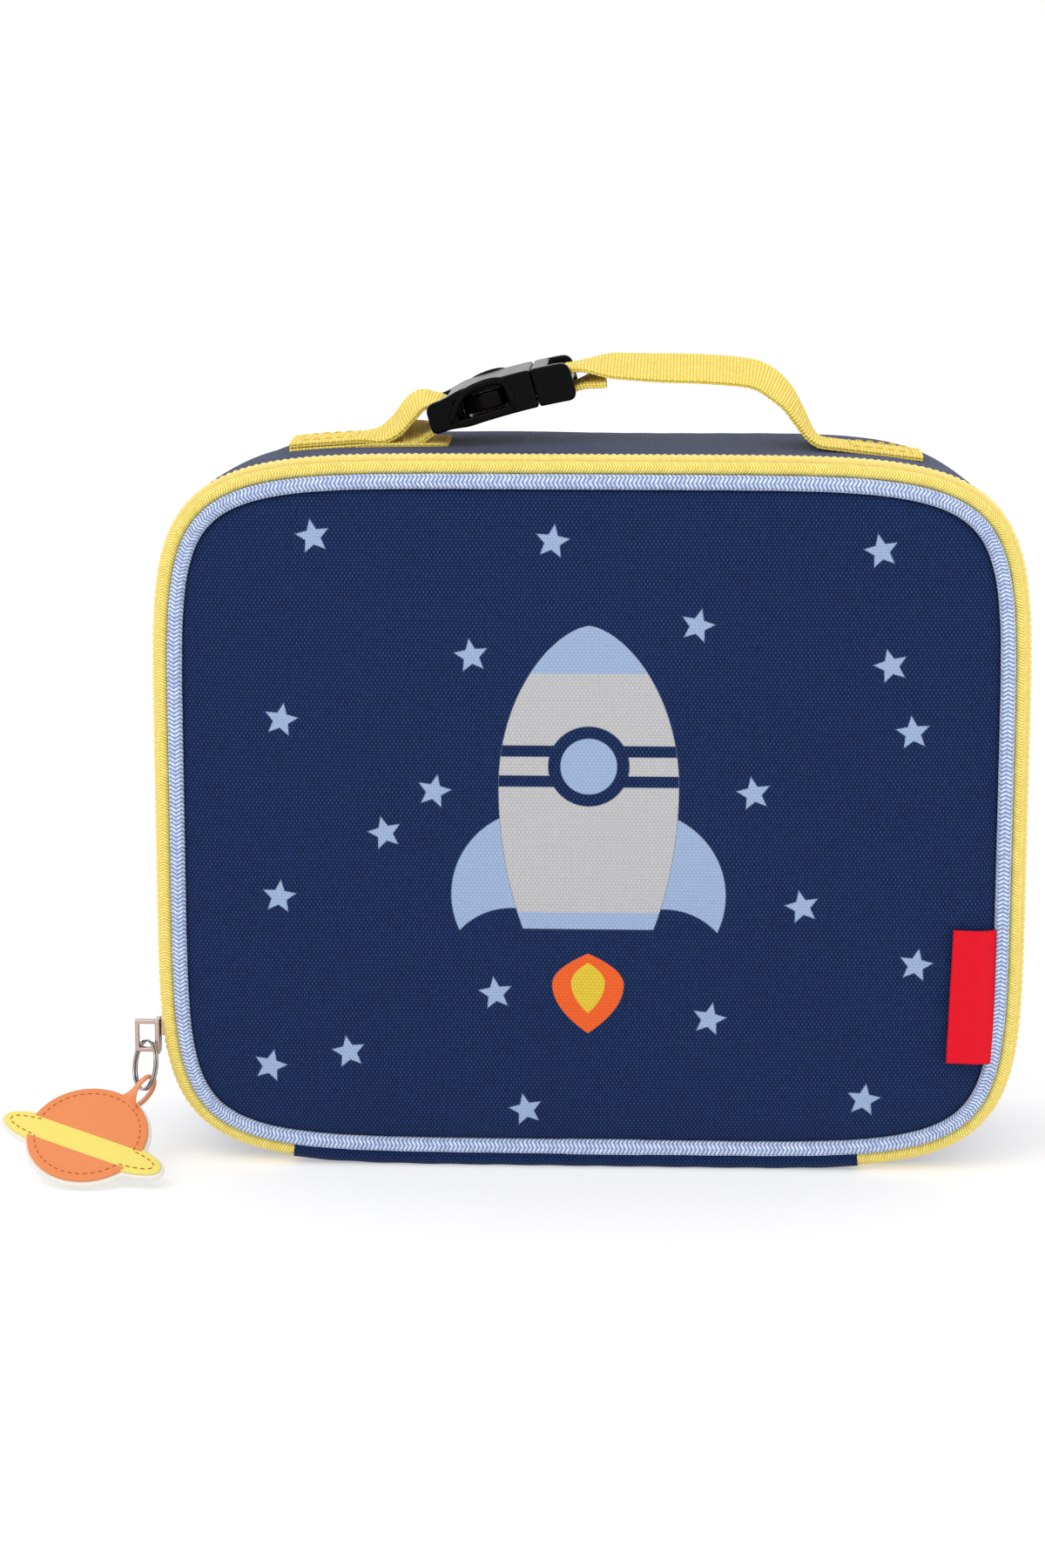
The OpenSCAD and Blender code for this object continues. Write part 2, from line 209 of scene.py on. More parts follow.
def run_length(a, b):
    """Running length along a profile."""
    return np.concatenate([[0], np.cumsum(np.hypot(np.diff(a), np.diff(b)))])


def round_profile(corners, steps=4, closed=True):
    """Smooth curve through profile corners, by the uniform cubic B-spline formula, which keeps
    inside the corners."""
    p = np.asarray(corners, float)
    if closed:
        q = [np.roll(p, k, 0) for k in (1, 0, -1, -2)]
    else:
        p = np.concatenate([p[:1], p[:1], p, p[-1:], p[-1:]])
        q = [p[k:len(p) - 3 + k] for k in range(4)]
    t = np.linspace(0, 1, steps, endpoint=False)[:, None, None]
    weights = ((1 - t) ** 3, 3 * t ** 3 - 6 * t ** 2 + 4, -3 * t ** 3 + 3 * t ** 2 + 3 * t + 1,
               t ** 3)
    curve = sum(w * c[None] for w, c in zip(weights, q)) / 6
    return curve.transpose(1, 0, 2).reshape(-1, 2)


def hoop_piece(name, profile, materials, start=None, end=None, step=1.2, shift=None,
               column_material=None, sharp=55):
    """A closed profile of (inset, y) corners carried round the whole outline, or from seam
    length start to end. shift(s, v) gives an extra inset, for puckers and teeth."""
    whole = start is None
    length = SEAM if whole else end - start
    count = int(length / step)
    s = np.linspace(0, SEAM, count, endpoint=False) if whole else np.linspace(start, end, count)
    inset, y = profile[:, 0], profile[:, 1]
    v = run_length(np.append(inset, inset[0]), np.append(y, y[0]))
    grid_inset = np.broadcast_to(inset, (count, len(inset)))
    if shift is not None:
        grid_inset = grid_inset + shift(s[:, None], v[None, :-1])
    u = np.append(s, s[0] + SEAM) if whole else s
    return grid_piece(name, around(s, grid_inset, y), u, v, materials, whole, True,
                      column_material, sharp)


# %% [markdown]
# ## Shared finishes as node groups
# Canvas, webbing, piping and tape are all threads that pass over and under each other. One
# group makes a plain weave from two sets of rounded threads, and gives its height and a tone of
# painted shade between the threads and painted highlight on their tops. Another gives the slow
# unevenness that all dyed cloth has.

# %% A small helper for writing node trees


class Tree:
    """Adds nodes to a node tree. An input may be a number, a colour or another node's output."""

    def __init__(self, tree):
        self.tree = tree

    def node(self, kind, *inputs, **settings):
        made = self.tree.nodes.new("ShaderNode" + kind)
        for key, value in settings.items():
            setattr(made, key, value)
        for socket, value in zip(made.inputs, inputs):
            self.put(socket, value)
        return made

    def put(self, socket, value):
        if value is None:
            return
        if isinstance(value, bpy.types.NodeSocket):
            self.tree.links.new(value, socket)
        else:
            socket.default_value = value

    def math(self, operation, *inputs):
        return self.node("Math", *inputs, operation=operation).outputs[0]

    def clamp(self, value):
        return self.node("Clamp", value).outputs[0]

    def mix(self, factor, a, b):
        """Colour a where factor is 0 and b where it is 1."""
        made = self.node("Mix", data_type="RGBA")
        for socket, value in ((made.inputs[0], factor), (made.inputs[6], a), (made.inputs[7], b)):
            self.put(socket, value)
        return made.outputs[2]

    def between(self, factor, a, b):
        """Number a where factor is 0 and b where it is 1."""
        return self.math("ADD", a, self.math("MULTIPLY", factor, self.math("SUBTRACT", b, a)))

    def use(self, group, **values):
        made = self.node("Group", node_tree=group)
        for key, value in values.items():
            self.put(made.inputs[key.replace("_", " ")], value)
        return made


def new_group(name, inputs, outputs):
    """An empty shader group with named inputs and outputs, its Tree, and its input node."""
    group = bpy.data.node_groups.new(name, "ShaderNodeTree")
    for label, kind, value in inputs:
        socket = group.interface.new_socket(label, in_out="INPUT", socket_type="NodeSocket" + kind)
        if value is not None:
            socket.default_value = value
    for label, kind in outputs:
        group.interface.new_socket(label, in_out="OUTPUT", socket_type="NodeSocket" + kind)
    tree = Tree(group)
    return group, tree, group.nodes.new("NodeGroupInput").outputs, \
        group.nodes.new("NodeGroupOutput").inputs


# %% Plain weave group


def make_weave():
    """Threads at u and v: each is half a sine wave across. Where whole thread numbers add up to
    an even sum the lengthwise thread is on top, and elsewhere the crosswise one. The tone is
    painted shade between the threads and a painted highlight on their tops, times a random tone
    for each thread. Weft below one darkens the crosswise threads with painted shade, so that the
    lengthwise threads carry the painted highlights."""
    group, t, inp, out = new_group(
        "plain_weave", [("Place", "Vector", None), ("Along", "Float", 1900.0),
                        ("Across", "Float", 2400.0), ("Weft", "Float", 1.0)],
        [("Height", "Float"), ("Painted Shade And Tone", "Float")])
    split = t.node("SeparateXYZ", inp["Place"]).outputs
    u, v = (t.math("MULTIPLY", split[k], inp[n]) for k, n in ((0, "Along"), (1, "Across")))
    cell_u, cell_v = t.math("FLOOR", u), t.math("FLOOR", v)
    even = t.math("PINGPONG", t.math("ADD", cell_u, cell_v), 1.0)
    ridge_u, ridge_v = (t.math("ABSOLUTE", t.math("SINE", t.math("MULTIPLY", c, math.pi)))
                        for c in (u, v))
    over_u = t.math("MULTIPLY", ridge_u, t.math("MULTIPLY_ADD", ridge_v, 0.6, 0.4))
    over_v = t.math("MULTIPLY", ridge_v, t.math("MULTIPLY_ADD", ridge_u, 0.6, 0.4))
    height = t.between(even, over_u, over_v)
    t.put(out["Height"], height)
    cell = t.node("CombineXYZ", cell_u, cell_v, 0.0).outputs[0]
    speck = t.node("TexWhiteNoise", cell, noise_dimensions="2D").outputs[0]
    # Painted shade and highlight: the higher a thread, the lighter it is painted, times a random
    # tone per thread.
    shade_and_tone = t.math("MULTIPLY", height, t.math("MULTIPLY_ADD", speck, 0.5, 0.95))
    lit = t.math("MULTIPLY", shade_and_tone, t.between(even, 1.0, inp["Weft"]))
    t.put(out["Painted Shade And Tone"], t.clamp(lit))
    return group


def make_rib():
    """Rows of slanting stitches: a sine wave along u, slanted by v, in bands across v. The tone is
    painted shade between the stitches and a painted highlight on their tops, times a random tone.
    """
    group, t, inp, out = new_group(
        "ribbed_weave", [("Place", "Vector", None), ("Ribs", "Float", 900.0),
                         ("Bands", "Float", 700.0), ("Slant", "Float", 0.5)],
        [("Height", "Float"), ("Painted Shade And Tone", "Float")])
    split = t.node("SeparateXYZ", inp["Place"]).outputs
    band = t.math("MULTIPLY", split[1], inp["Bands"])
    lean = t.math("MULTIPLY", t.math("PINGPONG", band, 1.0), inp["Slant"])
    along = t.math("ADD", t.math("MULTIPLY", split[0], inp["Ribs"]), lean)
    rib = t.math("ABSOLUTE", t.math("SINE", t.math("MULTIPLY", along, math.pi)))
    edge = t.math("ABSOLUTE", t.math("SINE", t.math("MULTIPLY", band, math.pi)))
    height = t.math("MULTIPLY", rib, t.math("MULTIPLY_ADD", edge, 0.35, 0.65))
    t.put(out["Height"], height)
    cell = t.node("CombineXYZ", t.math("FLOOR", along), t.math("FLOOR", band), 0.0).outputs[0]
    speck = t.node("TexWhiteNoise", cell, noise_dimensions="2D").outputs[0]
    t.put(out["Painted Shade And Tone"], t.clamp(t.math("MULTIPLY", height,
                                      t.math("MULTIPLY_ADD", speck, 0.4, 0.8))))
    return group


def make_mottle():
    """Slow unevenness of dye and of handling, from two sizes of noise, around one."""
    group, t, inp, out = new_group("mottle", [("Place", "Vector", None), ("Amount", "Float", 0.1)],
                                   [("Factor", "Float")])
    slow = t.node("TexNoise", inp["Place"], None, 24.0, 3.0).outputs[0]
    fine = t.node("TexNoise", inp["Place"], None, 420.0, 2.0).outputs[0]
    both = t.math("ADD", t.math("MULTIPLY", slow, 0.65), t.math("MULTIPLY", fine, 0.35))
    t.put(out["Factor"], t.math("MULTIPLY_ADD", t.math("SUBTRACT", both, 0.5),
                                t.math("MULTIPLY", inp["Amount"], 2.0), 1.0))
    return group


def make_grain():
    """Pebbled skin of moulded plastic or coated leather: cell noise with fine noise on it."""
    group, t, inp, out = new_group("skin_grain", [("Place", "Vector", None),
                                                  ("Scale", "Float", 900.0)],
                                   [("Height", "Float")])
    cells = t.node("TexVoronoi", inp["Place"], None, inp["Scale"]).outputs[0]
    fine = t.node("TexNoise", inp["Place"], None, t.math("MULTIPLY", inp["Scale"], 2.5),
                  2.0).outputs[0]
    t.put(out["Height"], t.math("MULTIPLY_ADD", fine, 0.4, t.math("MULTIPLY", cells, 0.6)))
    return group


WEAVE, RIB, MOTTLE, GRAIN = make_weave(), make_rib(), make_mottle(), make_grain()

# %% [markdown]
# ## The print
# The lid is printed with small stars and a plain toy rocket. A printed shape is a mask: one
# where the ink is and zero elsewhere, with a soft edge as wide as ink spreads. Each mask is a
# distance formula on the cloth's own coordinates.

# %% Mask groups for the print
INK_EDGE = 0.00016


def make_star():
    """Five-pointed star: fold the angle about its centre into a tenth of a turn, then test the
    one straight edge that runs from a tip to the notch beside it."""
    group, t, inp, out = new_group(
        "star_mask", [("Place", "Vector", None), ("Centre", "Vector", None),
                      ("Turn", "Float", 0.0), ("Radius", "Float", 0.0046)], [("Mask", "Float")])
    rel = t.node("VectorMath", inp["Place"], inp["Centre"], operation="SUBTRACT").outputs[0]
    split = t.node("SeparateXYZ", rel).outputs
    angle = t.math("ADD", t.math("ARCTAN2", split[0], split[1]), inp["Turn"])
    fold = t.math("PINGPONG", t.math("ADD", angle, 4 * math.pi), math.pi / 5)
    far = t.node("VectorMath", rel, operation="LENGTH").outputs["Value"]
    x = t.math("MULTIPLY", far, t.math("COSINE", fold))
    y = t.math("MULTIPLY", far, t.math("SINE", fold))
    notch = 0.46
    ex, ey = notch * math.cos(math.pi / 5) - 1, notch * math.sin(math.pi / 5)
    size = math.hypot(ex, ey)
    gap = t.math("ADD", t.math("MULTIPLY", t.math("SUBTRACT", x, inp["Radius"]), ey / size),
                 t.math("MULTIPLY", y, -ex / size))
    t.put(out["Mask"], t.clamp(t.math("MULTIPLY_ADD", gap, -0.5 / INK_EDGE, 0.5)))
    return group


def make_hull():
    """Pod shape: half width W (1 - h^2)^p, where h runs from 0 at the widest place to 1 at the
    top and at the bottom."""
    group, t, inp, out = new_group(
        "pod_mask", [("Place", "Vector", None), ("Centre", "Float", 0.1), ("Width", "Float", 0.02),
                     ("Up", "Float", 0.04), ("Down", "Float", 0.05), ("Power", "Float", 0.7)],
        [("Mask", "Float")])
    split = t.node("SeparateXYZ", inp["Place"]).outputs
    lift = t.math("SUBTRACT", split[1], inp["Centre"])
    h = t.math("MAXIMUM", t.math("DIVIDE", lift, inp["Up"]),
               t.math("DIVIDE", t.math("MULTIPLY", lift, -1.0), inp["Down"]))
    body = t.math("MAXIMUM", t.math("SUBTRACT", 1.0, t.math("MULTIPLY", h, h)), 0.0)
    half = t.math("MULTIPLY", inp["Width"], t.math("POWER", body, inp["Power"]))
    gap = t.math("SUBTRACT", t.math("ABSOLUTE", split[0]), t.math("SUBTRACT", half, INK_EDGE))
    t.put(out["Mask"], t.clamp(t.math("MULTIPLY_ADD", gap, -0.5 / INK_EDGE, 0.5)))
    return group


def make_disc():
    """Round mask about a centre."""
    group, t, inp, out = new_group(
        "disc_mask", [("Place", "Vector", None), ("Centre", "Vector", None),
                      ("Radius", "Float", 0.01)], [("Mask", "Float")])
    far = t.node("VectorMath", inp["Place"], inp["Centre"], operation="DISTANCE").outputs["Value"]
    gap = t.math("SUBTRACT", far, inp["Radius"])
    t.put(out["Mask"], t.clamp(t.math("MULTIPLY_ADD", gap, -0.5 / INK_EDGE, 0.5)))
    return group


STAR, POD, DISC = make_star(), make_hull(), make_disc()

# %% Materials for cloth


def linear(r, g, b):
    """A colour as 0 to 255 screen values, turned to the linear values that shaders use."""
    c = np.array([r, g, b]) / 255
    return (*np.where(c <= 0.04045, c / 12.92, ((c + 0.055) / 1.055) ** 2.4).tolist(), 1.0)


def new_material(name, rough, sheen=0.0, metallic=0.0, coat=0.0, specular=0.5):
    """A material, its Tree and its Principled shader."""
    material = bpy.data.materials.new(name)
    material.use_nodes = True
    tree = Tree(material.node_tree)
    shader = material.node_tree.nodes["Principled BSDF"]
    for key, value in (("Roughness", rough), ("Sheen Weight", sheen), ("Metallic", metallic),
                       ("Coat Weight", coat), ("Specular IOR Level", specular)):
        shader.inputs[key].default_value = value
    return material, tree, shader


def set_bump(t, shader, height, depth):
    """Turns a height from 0 to 1 into a bump of that depth in metres."""
    bump = t.node("Bump")
    bump.inputs["Strength"].default_value = 1.0
    bump.inputs["Distance"].default_value = depth
    t.put(bump.inputs["Height"], height)
    t.put(shader.inputs["Normal"], bump.outputs[0])


def cloth(name, shade, light, group=WEAVE, depth=0.00016, rough=0.8, sheen=0.25, mottle=0.12,
          specular=0.3, colour=None, **pattern):
    """Woven cloth: painted shade between the threads, a painted highlight on top of them, and
    uneven over its area. colour(t, place) may give those two colours as a pattern."""
    material, t, shader = new_material(name, rough, sheen, specular=specular)
    place = t.node("UVMap", uv_map="UVMap").outputs[0]
    weave = t.use(group, Place=place, **pattern)
    solid = t.node("TexCoord").outputs["Object"]
    uneven = t.use(MOTTLE, Place=solid, Amount=mottle).outputs[0]
    shade_and_tone = t.clamp(t.math("MULTIPLY", weave.outputs["Painted Shade And Tone"], uneven))
    if colour is None:
        base = t.mix(shade_and_tone, shade, light)
    else:
        base = t.mix(shade_and_tone, *colour(t, place))
    t.put(shader.inputs["Base Color"], base)
    set_bump(t, shader, weave.outputs["Height"], depth)
    shader.inputs["Sheen Roughness"].default_value = 0.4
    return material


STARS = [(-71.6, 74.3, 10), (-9.6, 73.3, -8), (75.0, 71.3, 12), (28.0, 51.7, -14),
         (-30.6, 43.5, 8), (78.0, 41.5, 15), (-80.4, 26.1, -10), (84.0, 24.0, 6),
         (-40.4, 7.6, -12), (43.0, 7.6, 10), (-53.4, -3.7, 14), (-81.4, -21.2, -6),
         (56.0, -22.6, 12), (86.0, -38.1, -10), (-24.4, -46.8, 8), (32.0, -53.2, -12),
         (-63.4, -63.3, 10), (-84.4, -67.4, -14), (-16.4, -78.7, 12), (73.0, -75.0, -8)]
PRINT_Z = 95.5
INK_BLUE, INK_GREY = linear(165, 187, 222), linear(201, 200, 202)
# Navy canvas: its colour lit on top of the threads, then the painted shade between them.
NAVY_TOP, NAVY_SHADE = linear(33, 64, 124), linear(1, 7, 28)


def printed_colour(t, place):
    """The colours of the lid's print over the navy cloth. Each part of the rocket is a mask,
    laid over the last one. It returns the painted shade between the threads and the colour of
    their lit tops."""
    split = t.node("SeparateXYZ", place).outputs
    stars = None
    for x, z, turn in STARS:
        mask = t.use(STAR, Place=place, Centre=(x * MM, (z + PRINT_Z) * MM, 0),
                     Turn=math.radians(turn)).outputs[0]
        stars = mask if stars is None else t.math("MAXIMUM", stars, mask)

    def above(height):
        lift = t.math("SUBTRACT", split[1], (height + PRINT_Z) * MM)
        return t.clamp(t.math("MULTIPLY_ADD", lift, 0.5 / INK_EDGE, 0.5))

    def both(*masks):
        total = masks[0]
        for mask in masks[1:]:
            total = t.math("MULTIPLY", total, mask)
        return total

    def outside(mask):
        return t.math("SUBTRACT", 1.0, mask)

    def pod(centre, width, up, down, power):
        return t.use(POD, Place=place, Centre=(centre + PRINT_Z) * MM, Width=width * MM,
                     Up=up * MM, Down=down * MM, Power=power).outputs[0]

    fold = t.node("CombineXYZ", t.math("ABSOLUTE", split[0]), split[1], 0.0).outputs[0]

    def disc(x, z, radius):
        return t.use(DISC, Place=fold, Centre=(x * MM, (z + PRINT_Z) * MM, 0),
                     Radius=radius * MM).outputs[0]

    body = both(pod(9, 23.7, 42.5, 60, 0.62), above(-29))
    fin = both(disc(13, -20, 23), outside(disc(20, -42, 18.5)), outside(body),
               outside(disc(0, -40, 13.5)))
    window, rim = disc(0, 14.5, 7.4), disc(0, 14.5, 10.6)
    stripes = t.math("ADD", both(above(17), outside(above(20))),
                     both(above(9), outside(above(12))))
    layers = [(stars, INK_BLUE), (fin, INK_BLUE), (body, INK_GREY),
              (both(body, above(39)), INK_BLUE), (both(body, outside(above(-24.5))), INK_BLUE),
              (both(body, t.clamp(stripes)), NAVY_TOP), (rim, NAVY_TOP), (window, INK_BLUE),
              (pod(-44, 9.6, 8.5, 13.5, 1.0), linear(250, 104, 40)),
              (pod(-43.5, 4.6, 5.5, 8.5, 1.0), linear(238, 205, 60))]
    colour, inked = NAVY_TOP, None
    for mask, ink in layers:
        colour = t.mix(mask, colour, ink)
        if ink != NAVY_TOP:
            inked = mask if inked is None else t.math("MAXIMUM", inked, mask)
        else:
            inked = t.math("MULTIPLY", inked, outside(mask))
    # Painted shade between the threads: the print's colour darkened where there is ink, and the
    # navy's painted shade elsewhere.
    shadow = t.mix(0.26, colour, linear(20, 26, 48))
    return t.mix(inked, NAVY_SHADE, shadow), colour


# Each cloth's two colours are its painted shade between the threads and its painted highlight on
# their tops.
canvas = cloth("canvas_navy", NAVY_SHADE, NAVY_TOP, sheen=0.04, specular=0.15, Across=1250.0,
               Weft=0.3)
printed = cloth("canvas_printed", None, None, sheen=0.04, specular=0.15,
                colour=printed_colour, Across=1250.0, Weft=0.3)
gusset_canvas = cloth("canvas_gusset", linear(16, 24, 50), linear(62, 80, 128), sheen=0.15,
                      specular=0.2, Across=1250.0, Weft=0.4)
lining = cloth("lining_silver", linear(150, 154, 164), linear(214, 217, 224), rough=0.38,
               depth=0.00004, sheen=0.1, specular=0.6, Along=3600.0, Across=3600.0)
piping_cloth = cloth("piping_blue", linear(84, 106, 160), linear(214, 228, 254), group=RIB,
                     depth=0.0003, sheen=0.12, Ribs=900.0, Bands=640.0, Slant=0.7)
tape_cloth = cloth("zip_tape_yellow", linear(206, 172, 62), linear(255, 240, 140), group=RIB,
                   depth=0.00018, sheen=0.1, Ribs=1300.0, Bands=260.0, Slant=2.2)
coil_nylon = cloth("zip_coil_yellow", linear(214, 184, 78), linear(255, 238, 150), group=RIB,
                   depth=0.00003, rough=0.45, specular=0.5, Ribs=2600.0, Bands=300.0)
webbing_cloth = cloth("webbing_yellow", linear(250, 190, 34), linear(255, 252, 140), depth=0.0004,
                      sheen=0.1, Along=1150.0, Across=900.0, Weft=0.72)
binding_cloth = cloth("binding_grey", linear(120, 126, 138), linear(196, 201, 210), group=RIB,
                      depth=0.00015, Ribs=1500.0, Bands=500.0)
label_cloth = cloth("label_red", linear(196, 0, 26), linear(238, 4, 36), depth=0.00005,
                    rough=0.5, sheen=0.0, specular=0.15, Along=4200.0, Across=4200.0)
patch_cloth = cloth("patch_white", linear(196, 194, 188), linear(240, 239, 235), depth=0.00008,
                    Along=3000.0, Across=3000.0)
yellow_thread = cloth("thread_yellow", linear(196, 150, 30), linear(250, 215, 90), group=RIB,
                      depth=0.00006, Ribs=2500.0, Bands=1000.0)
rust_thread = cloth("thread_rust", linear(120, 52, 10), linear(206, 112, 38), group=RIB,
                    depth=0.00006, Ribs=2500.0, Bands=1000.0)


def mesh_cloth():
    """Open knitted mesh: a dark cloth whose alpha is cut by rows of round holes."""
    material, t, shader = new_material("mesh_grey", 0.7, 0.2)
    place = t.node("UVMap", uv_map="UVMap").outputs[0]
    split = t.node("SeparateXYZ", place).outputs
    waves = [t.math("SINE", t.math("MULTIPLY", t.math(sign, split[0], split[1]), 2800.0))
             for sign in ("ADD", "SUBTRACT")]
    product = t.math("MULTIPLY", *waves)
    t.put(shader.inputs["Alpha"], t.math("LESS_THAN", product, 0.32))
    uneven = t.use(MOTTLE, Place=place, Amount=0.4).outputs[0]
    t.put(shader.inputs["Base Color"], t.mix(t.clamp(t.math("SUBTRACT", uneven, 0.5)),
                                             linear(24, 32, 52), linear(70, 84, 120)))
    set_bump(t, shader, product, 0.0001)
    return material


# %% Materials for hard parts and leather


def skin(name, shade, light, rough, grain_scale, depth, coat=0.0, metallic=0.0, wear=0.15,
         specular=0.5):
    """Plastic, metal or coated leather: grain in the surface, and slow variation of colour and
    of gloss from handling."""
    material, t, shader = new_material(name, rough, metallic=metallic, coat=coat,
                                       specular=specular)
    place = t.node("TexCoord").outputs["Object"]
    grain = t.use(GRAIN, Place=place, Scale=grain_scale).outputs[0]
    uneven = t.use(MOTTLE, Place=place, Amount=wear).outputs[0]
    t.put(shader.inputs["Base Color"],
          t.mix(t.clamp(t.math("SUBTRACT", uneven, 0.5)), shade, light))
    t.put(shader.inputs["Roughness"], t.clamp(t.math("MULTIPLY", uneven, rough)))
    set_bump(t, shader, grain, depth)
    return material


buckle_plastic = skin("buckle_black", linear(3, 3, 4), linear(16, 14, 14), 0.22, 700.0, 0.000006,
                      wear=0.4, specular=0.05)
slider_metal = skin("zip_metal", linear(150, 122, 112), linear(222, 200, 192), 0.22, 900.0,
                    0.00001, metallic=1.0)
ring_metal = skin("ring_steel", linear(112, 106, 104), linear(196, 192, 190), 0.16, 900.0,
                  0.000004, metallic=1.0)
white_leather = skin("backing_white", linear(206, 200, 190), linear(246, 243, 236), 0.5, 1500.0,
                     0.00004)
yellow_leather = skin("leather_yellow", linear(214, 196, 80), linear(244, 228, 118), 0.42, 1500.0,
                      0.00004)
orange_leather = skin("leather_orange", linear(214, 116, 56), linear(231, 142, 84), 0.42, 1500.0,
                      0.00004)
pocket_mesh = mesh_cloth()

# %% [markdown]
# ## Padded panels
# The lid is canvas over foam over lining, sewn into one rim. It stands about four millimetres
# proud of its seam with a tight round shoulder. A function of the share of the way out from the
# middle gives the height: (1 - r^n) to a power makes the shoulder, and 1 - r^2 the slow crown.

# %% Padded panels


def panel(name, inset, face, rim, lining_y, materials, side, tuck=0.0):
    """A padded sheet with its face at face, sewn rim at rim and inner side at lining_y, in mm.
    side is -1 for a panel that faces -Y and 1 for one that faces +Y."""
    count = 420
    s = np.linspace(0, SEAM, count, endpoint=False)
    edge = around(s, inset + tuck * corner(s)[:, None], np.array([0.0]))[:, 0]
    middle = np.array([0, 0, HALF_H])
    front = np.concatenate([np.linspace(0, 0.86, 34), np.linspace(0.87, 1, 22)])
    back_share = np.concatenate([np.linspace(0, 0.9, 24), np.linspace(0.92, 1, 8)])[::-1][1:]
    r = np.concatenate([front, back_share])
    flat = middle + r[None, :, None] * (edge - middle)[:, None]
    x, z = flat[..., 0], flat[..., 2]
    swell = (1 - r ** 24) ** 0.55
    slack = 0.22 * (np.sin(x / 17 + 0.8) * np.sin(z / 21 + 2.0) + 0.5 * np.sin((x + z) / 11))
    pull = np.clip((r - 0.8) / 0.2, 0, 1)[None]
    pucker = 0.12 * pull * (1 - pull) * 4 * np.sin(s / 3.1 + 2 * np.sin(s / 23))[:, None]
    out = rim + (face - rim) * swell + side * 1.1 * (1 - r ** 2) + slack * swell + pucker
    inner = rim - side * 0.6 + (lining_y - rim + side * 0.6) * (1 - r ** 16) ** 0.5 \
        + 0.25 * np.sin(x / 9) * np.sin(z / 13 + 1) * (1 - r)
    on_face = np.arange(len(r)) < len(front)
    y = np.where(on_face[None], out, inner)
    points = np.stack([x, y, z], -1)
    faces, row, col = quads(count, len(r), True, False)
    uv = np.stack([x[row % count, col], z[row % count, col]], -1).reshape(-1, 2) * MM
    index = np.where(col[:, 0] < len(front) - 1, 0, 1)
    return finish_mesh(name, points, faces.tolist(), uv, materials, index, 80)


lid_panel = panel("lid_panel", 7.6, -37.2, -33.4, -30.9, [printed, lining], -1)
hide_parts("front_panel_fabric", "front_panel_foam", "front_panel_lining")
belongs(lid_panel, "lid", "canvas_navy")

BACK_TUCK = 3.0
back_panel = panel("back_panel", 7.6, 38.0, 34.0, 32.2, [canvas, lining], 1, BACK_TUCK)
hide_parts("back_panel_fabric", "back_panel_foam")
belongs(back_panel, "case", "canvas_navy")

# %% [markdown]
# ## The padded wall
# The wall round the case is canvas, foam and lining too. Its profile is a closed curve of
# insets from the outline against depth, smoothed by a B-spline and carried round the outline.
# A small wave makes the canvas slack between its seams.

# %% The padded wall and the back lining
CANVAS_CORNERS, WALL_STEPS = 12, 4
wall_profile = round_profile(
    [(1.9, -26.9), (0.5, -27.0), (0.1, -26.2), (-0.1, -24), (-0.5, -14), (-0.8, 2), (-0.6, 18),
     (0.0, 29), (0.5, 32.2), (1.6, 33.6), (3.6, 33.9), (6.5, 33.4), (7.2, 31.8), (7.3, 29),
     (6.8, 14), (6.6, 0), (6.8, -16), (7.3, -24), (7.2, -26.2), (5.0, -26.6)], WALL_STEPS)
wall_outer = (np.arange(len(wall_profile)) >= CANVAS_CORNERS * WALL_STEPS).astype(int)


def wall_slack(s, v):
    """Slow waves in the canvas, strongest in mid depth, small puckers at the seams, and corners
    that draw in towards the back, where the two seams pull on the cloth."""
    mid = np.clip(v / 12, 0, 1) * np.clip((62 - v) / 12, 0, 1)
    deep = np.interp(v, [0, 60, 75, 140], [0, 1, 1, 0])
    wave = 0.45 * mid * (np.sin(s / 17 + 1.3 * np.sin(v / 14)) + 0.8 * np.sin(s / 41 + v / 25))
    return wave + 0.05 * (1 - mid) * np.sin(s / 1.7) + 4.4 * deep * corner(s[:, 0])[:, None]


padded_wall = hoop_piece("padded_wall", wall_profile, [gusset_canvas, lining], step=1.6,
                         shift=wall_slack, column_material=wall_outer)
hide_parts("gusset_fabric", "gusset_foam", "gusset_lining")
belongs(padded_wall, "case", "canvas_navy")


def disc_sheet(name, inset, y, thick, materials):
    """A thin sheet that fills the outline less inset, with slow waves."""
    count = 200
    s = np.linspace(0, SEAM, count, endpoint=False)
    edge = around(s, inset + BACK_TUCK * corner(s)[:, None], np.array([0.0]))[:, 0]
    middle = np.array([0, 0, HALF_H])
    out = np.linspace(0, 1, 26)
    r = np.concatenate([out, out[::-1]])
    flat = middle + r[None, :, None] * (edge - middle)[:, None]
    x, z = flat[..., 0], flat[..., 2]
    wave = 0.3 * np.sin(x / 12 + 1) * np.sin(z / 15) * (1 - r ** 8)
    level = np.where(np.arange(len(r)) < len(out), y, y + thick)
    points = np.stack([x, level + wave, z], -1)
    faces, row, col = quads(count, len(r), True, False)
    uv = np.stack([x[row % count, col], z[row % count, col]], -1).reshape(-1, 2) * MM
    return finish_mesh(name, points, faces.tolist(), uv, materials, sharp=80)


back_lining = disc_sheet("back_lining", 6.9, 31.0, 0.8, [lining])
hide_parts("back_panel_lining")
belongs(back_lining, "case", "lining_silver")

# %% [markdown]
# ## Piping
# Piping is a cord in a folded strip of ribbed cloth. The strip's ends overlap at the middle of
# the bottom edge, so the radius grows there by 7 %, with a short step at each end.

# %% Piping
PIPING_R, PIPING_INSET = 2.0, 6.0


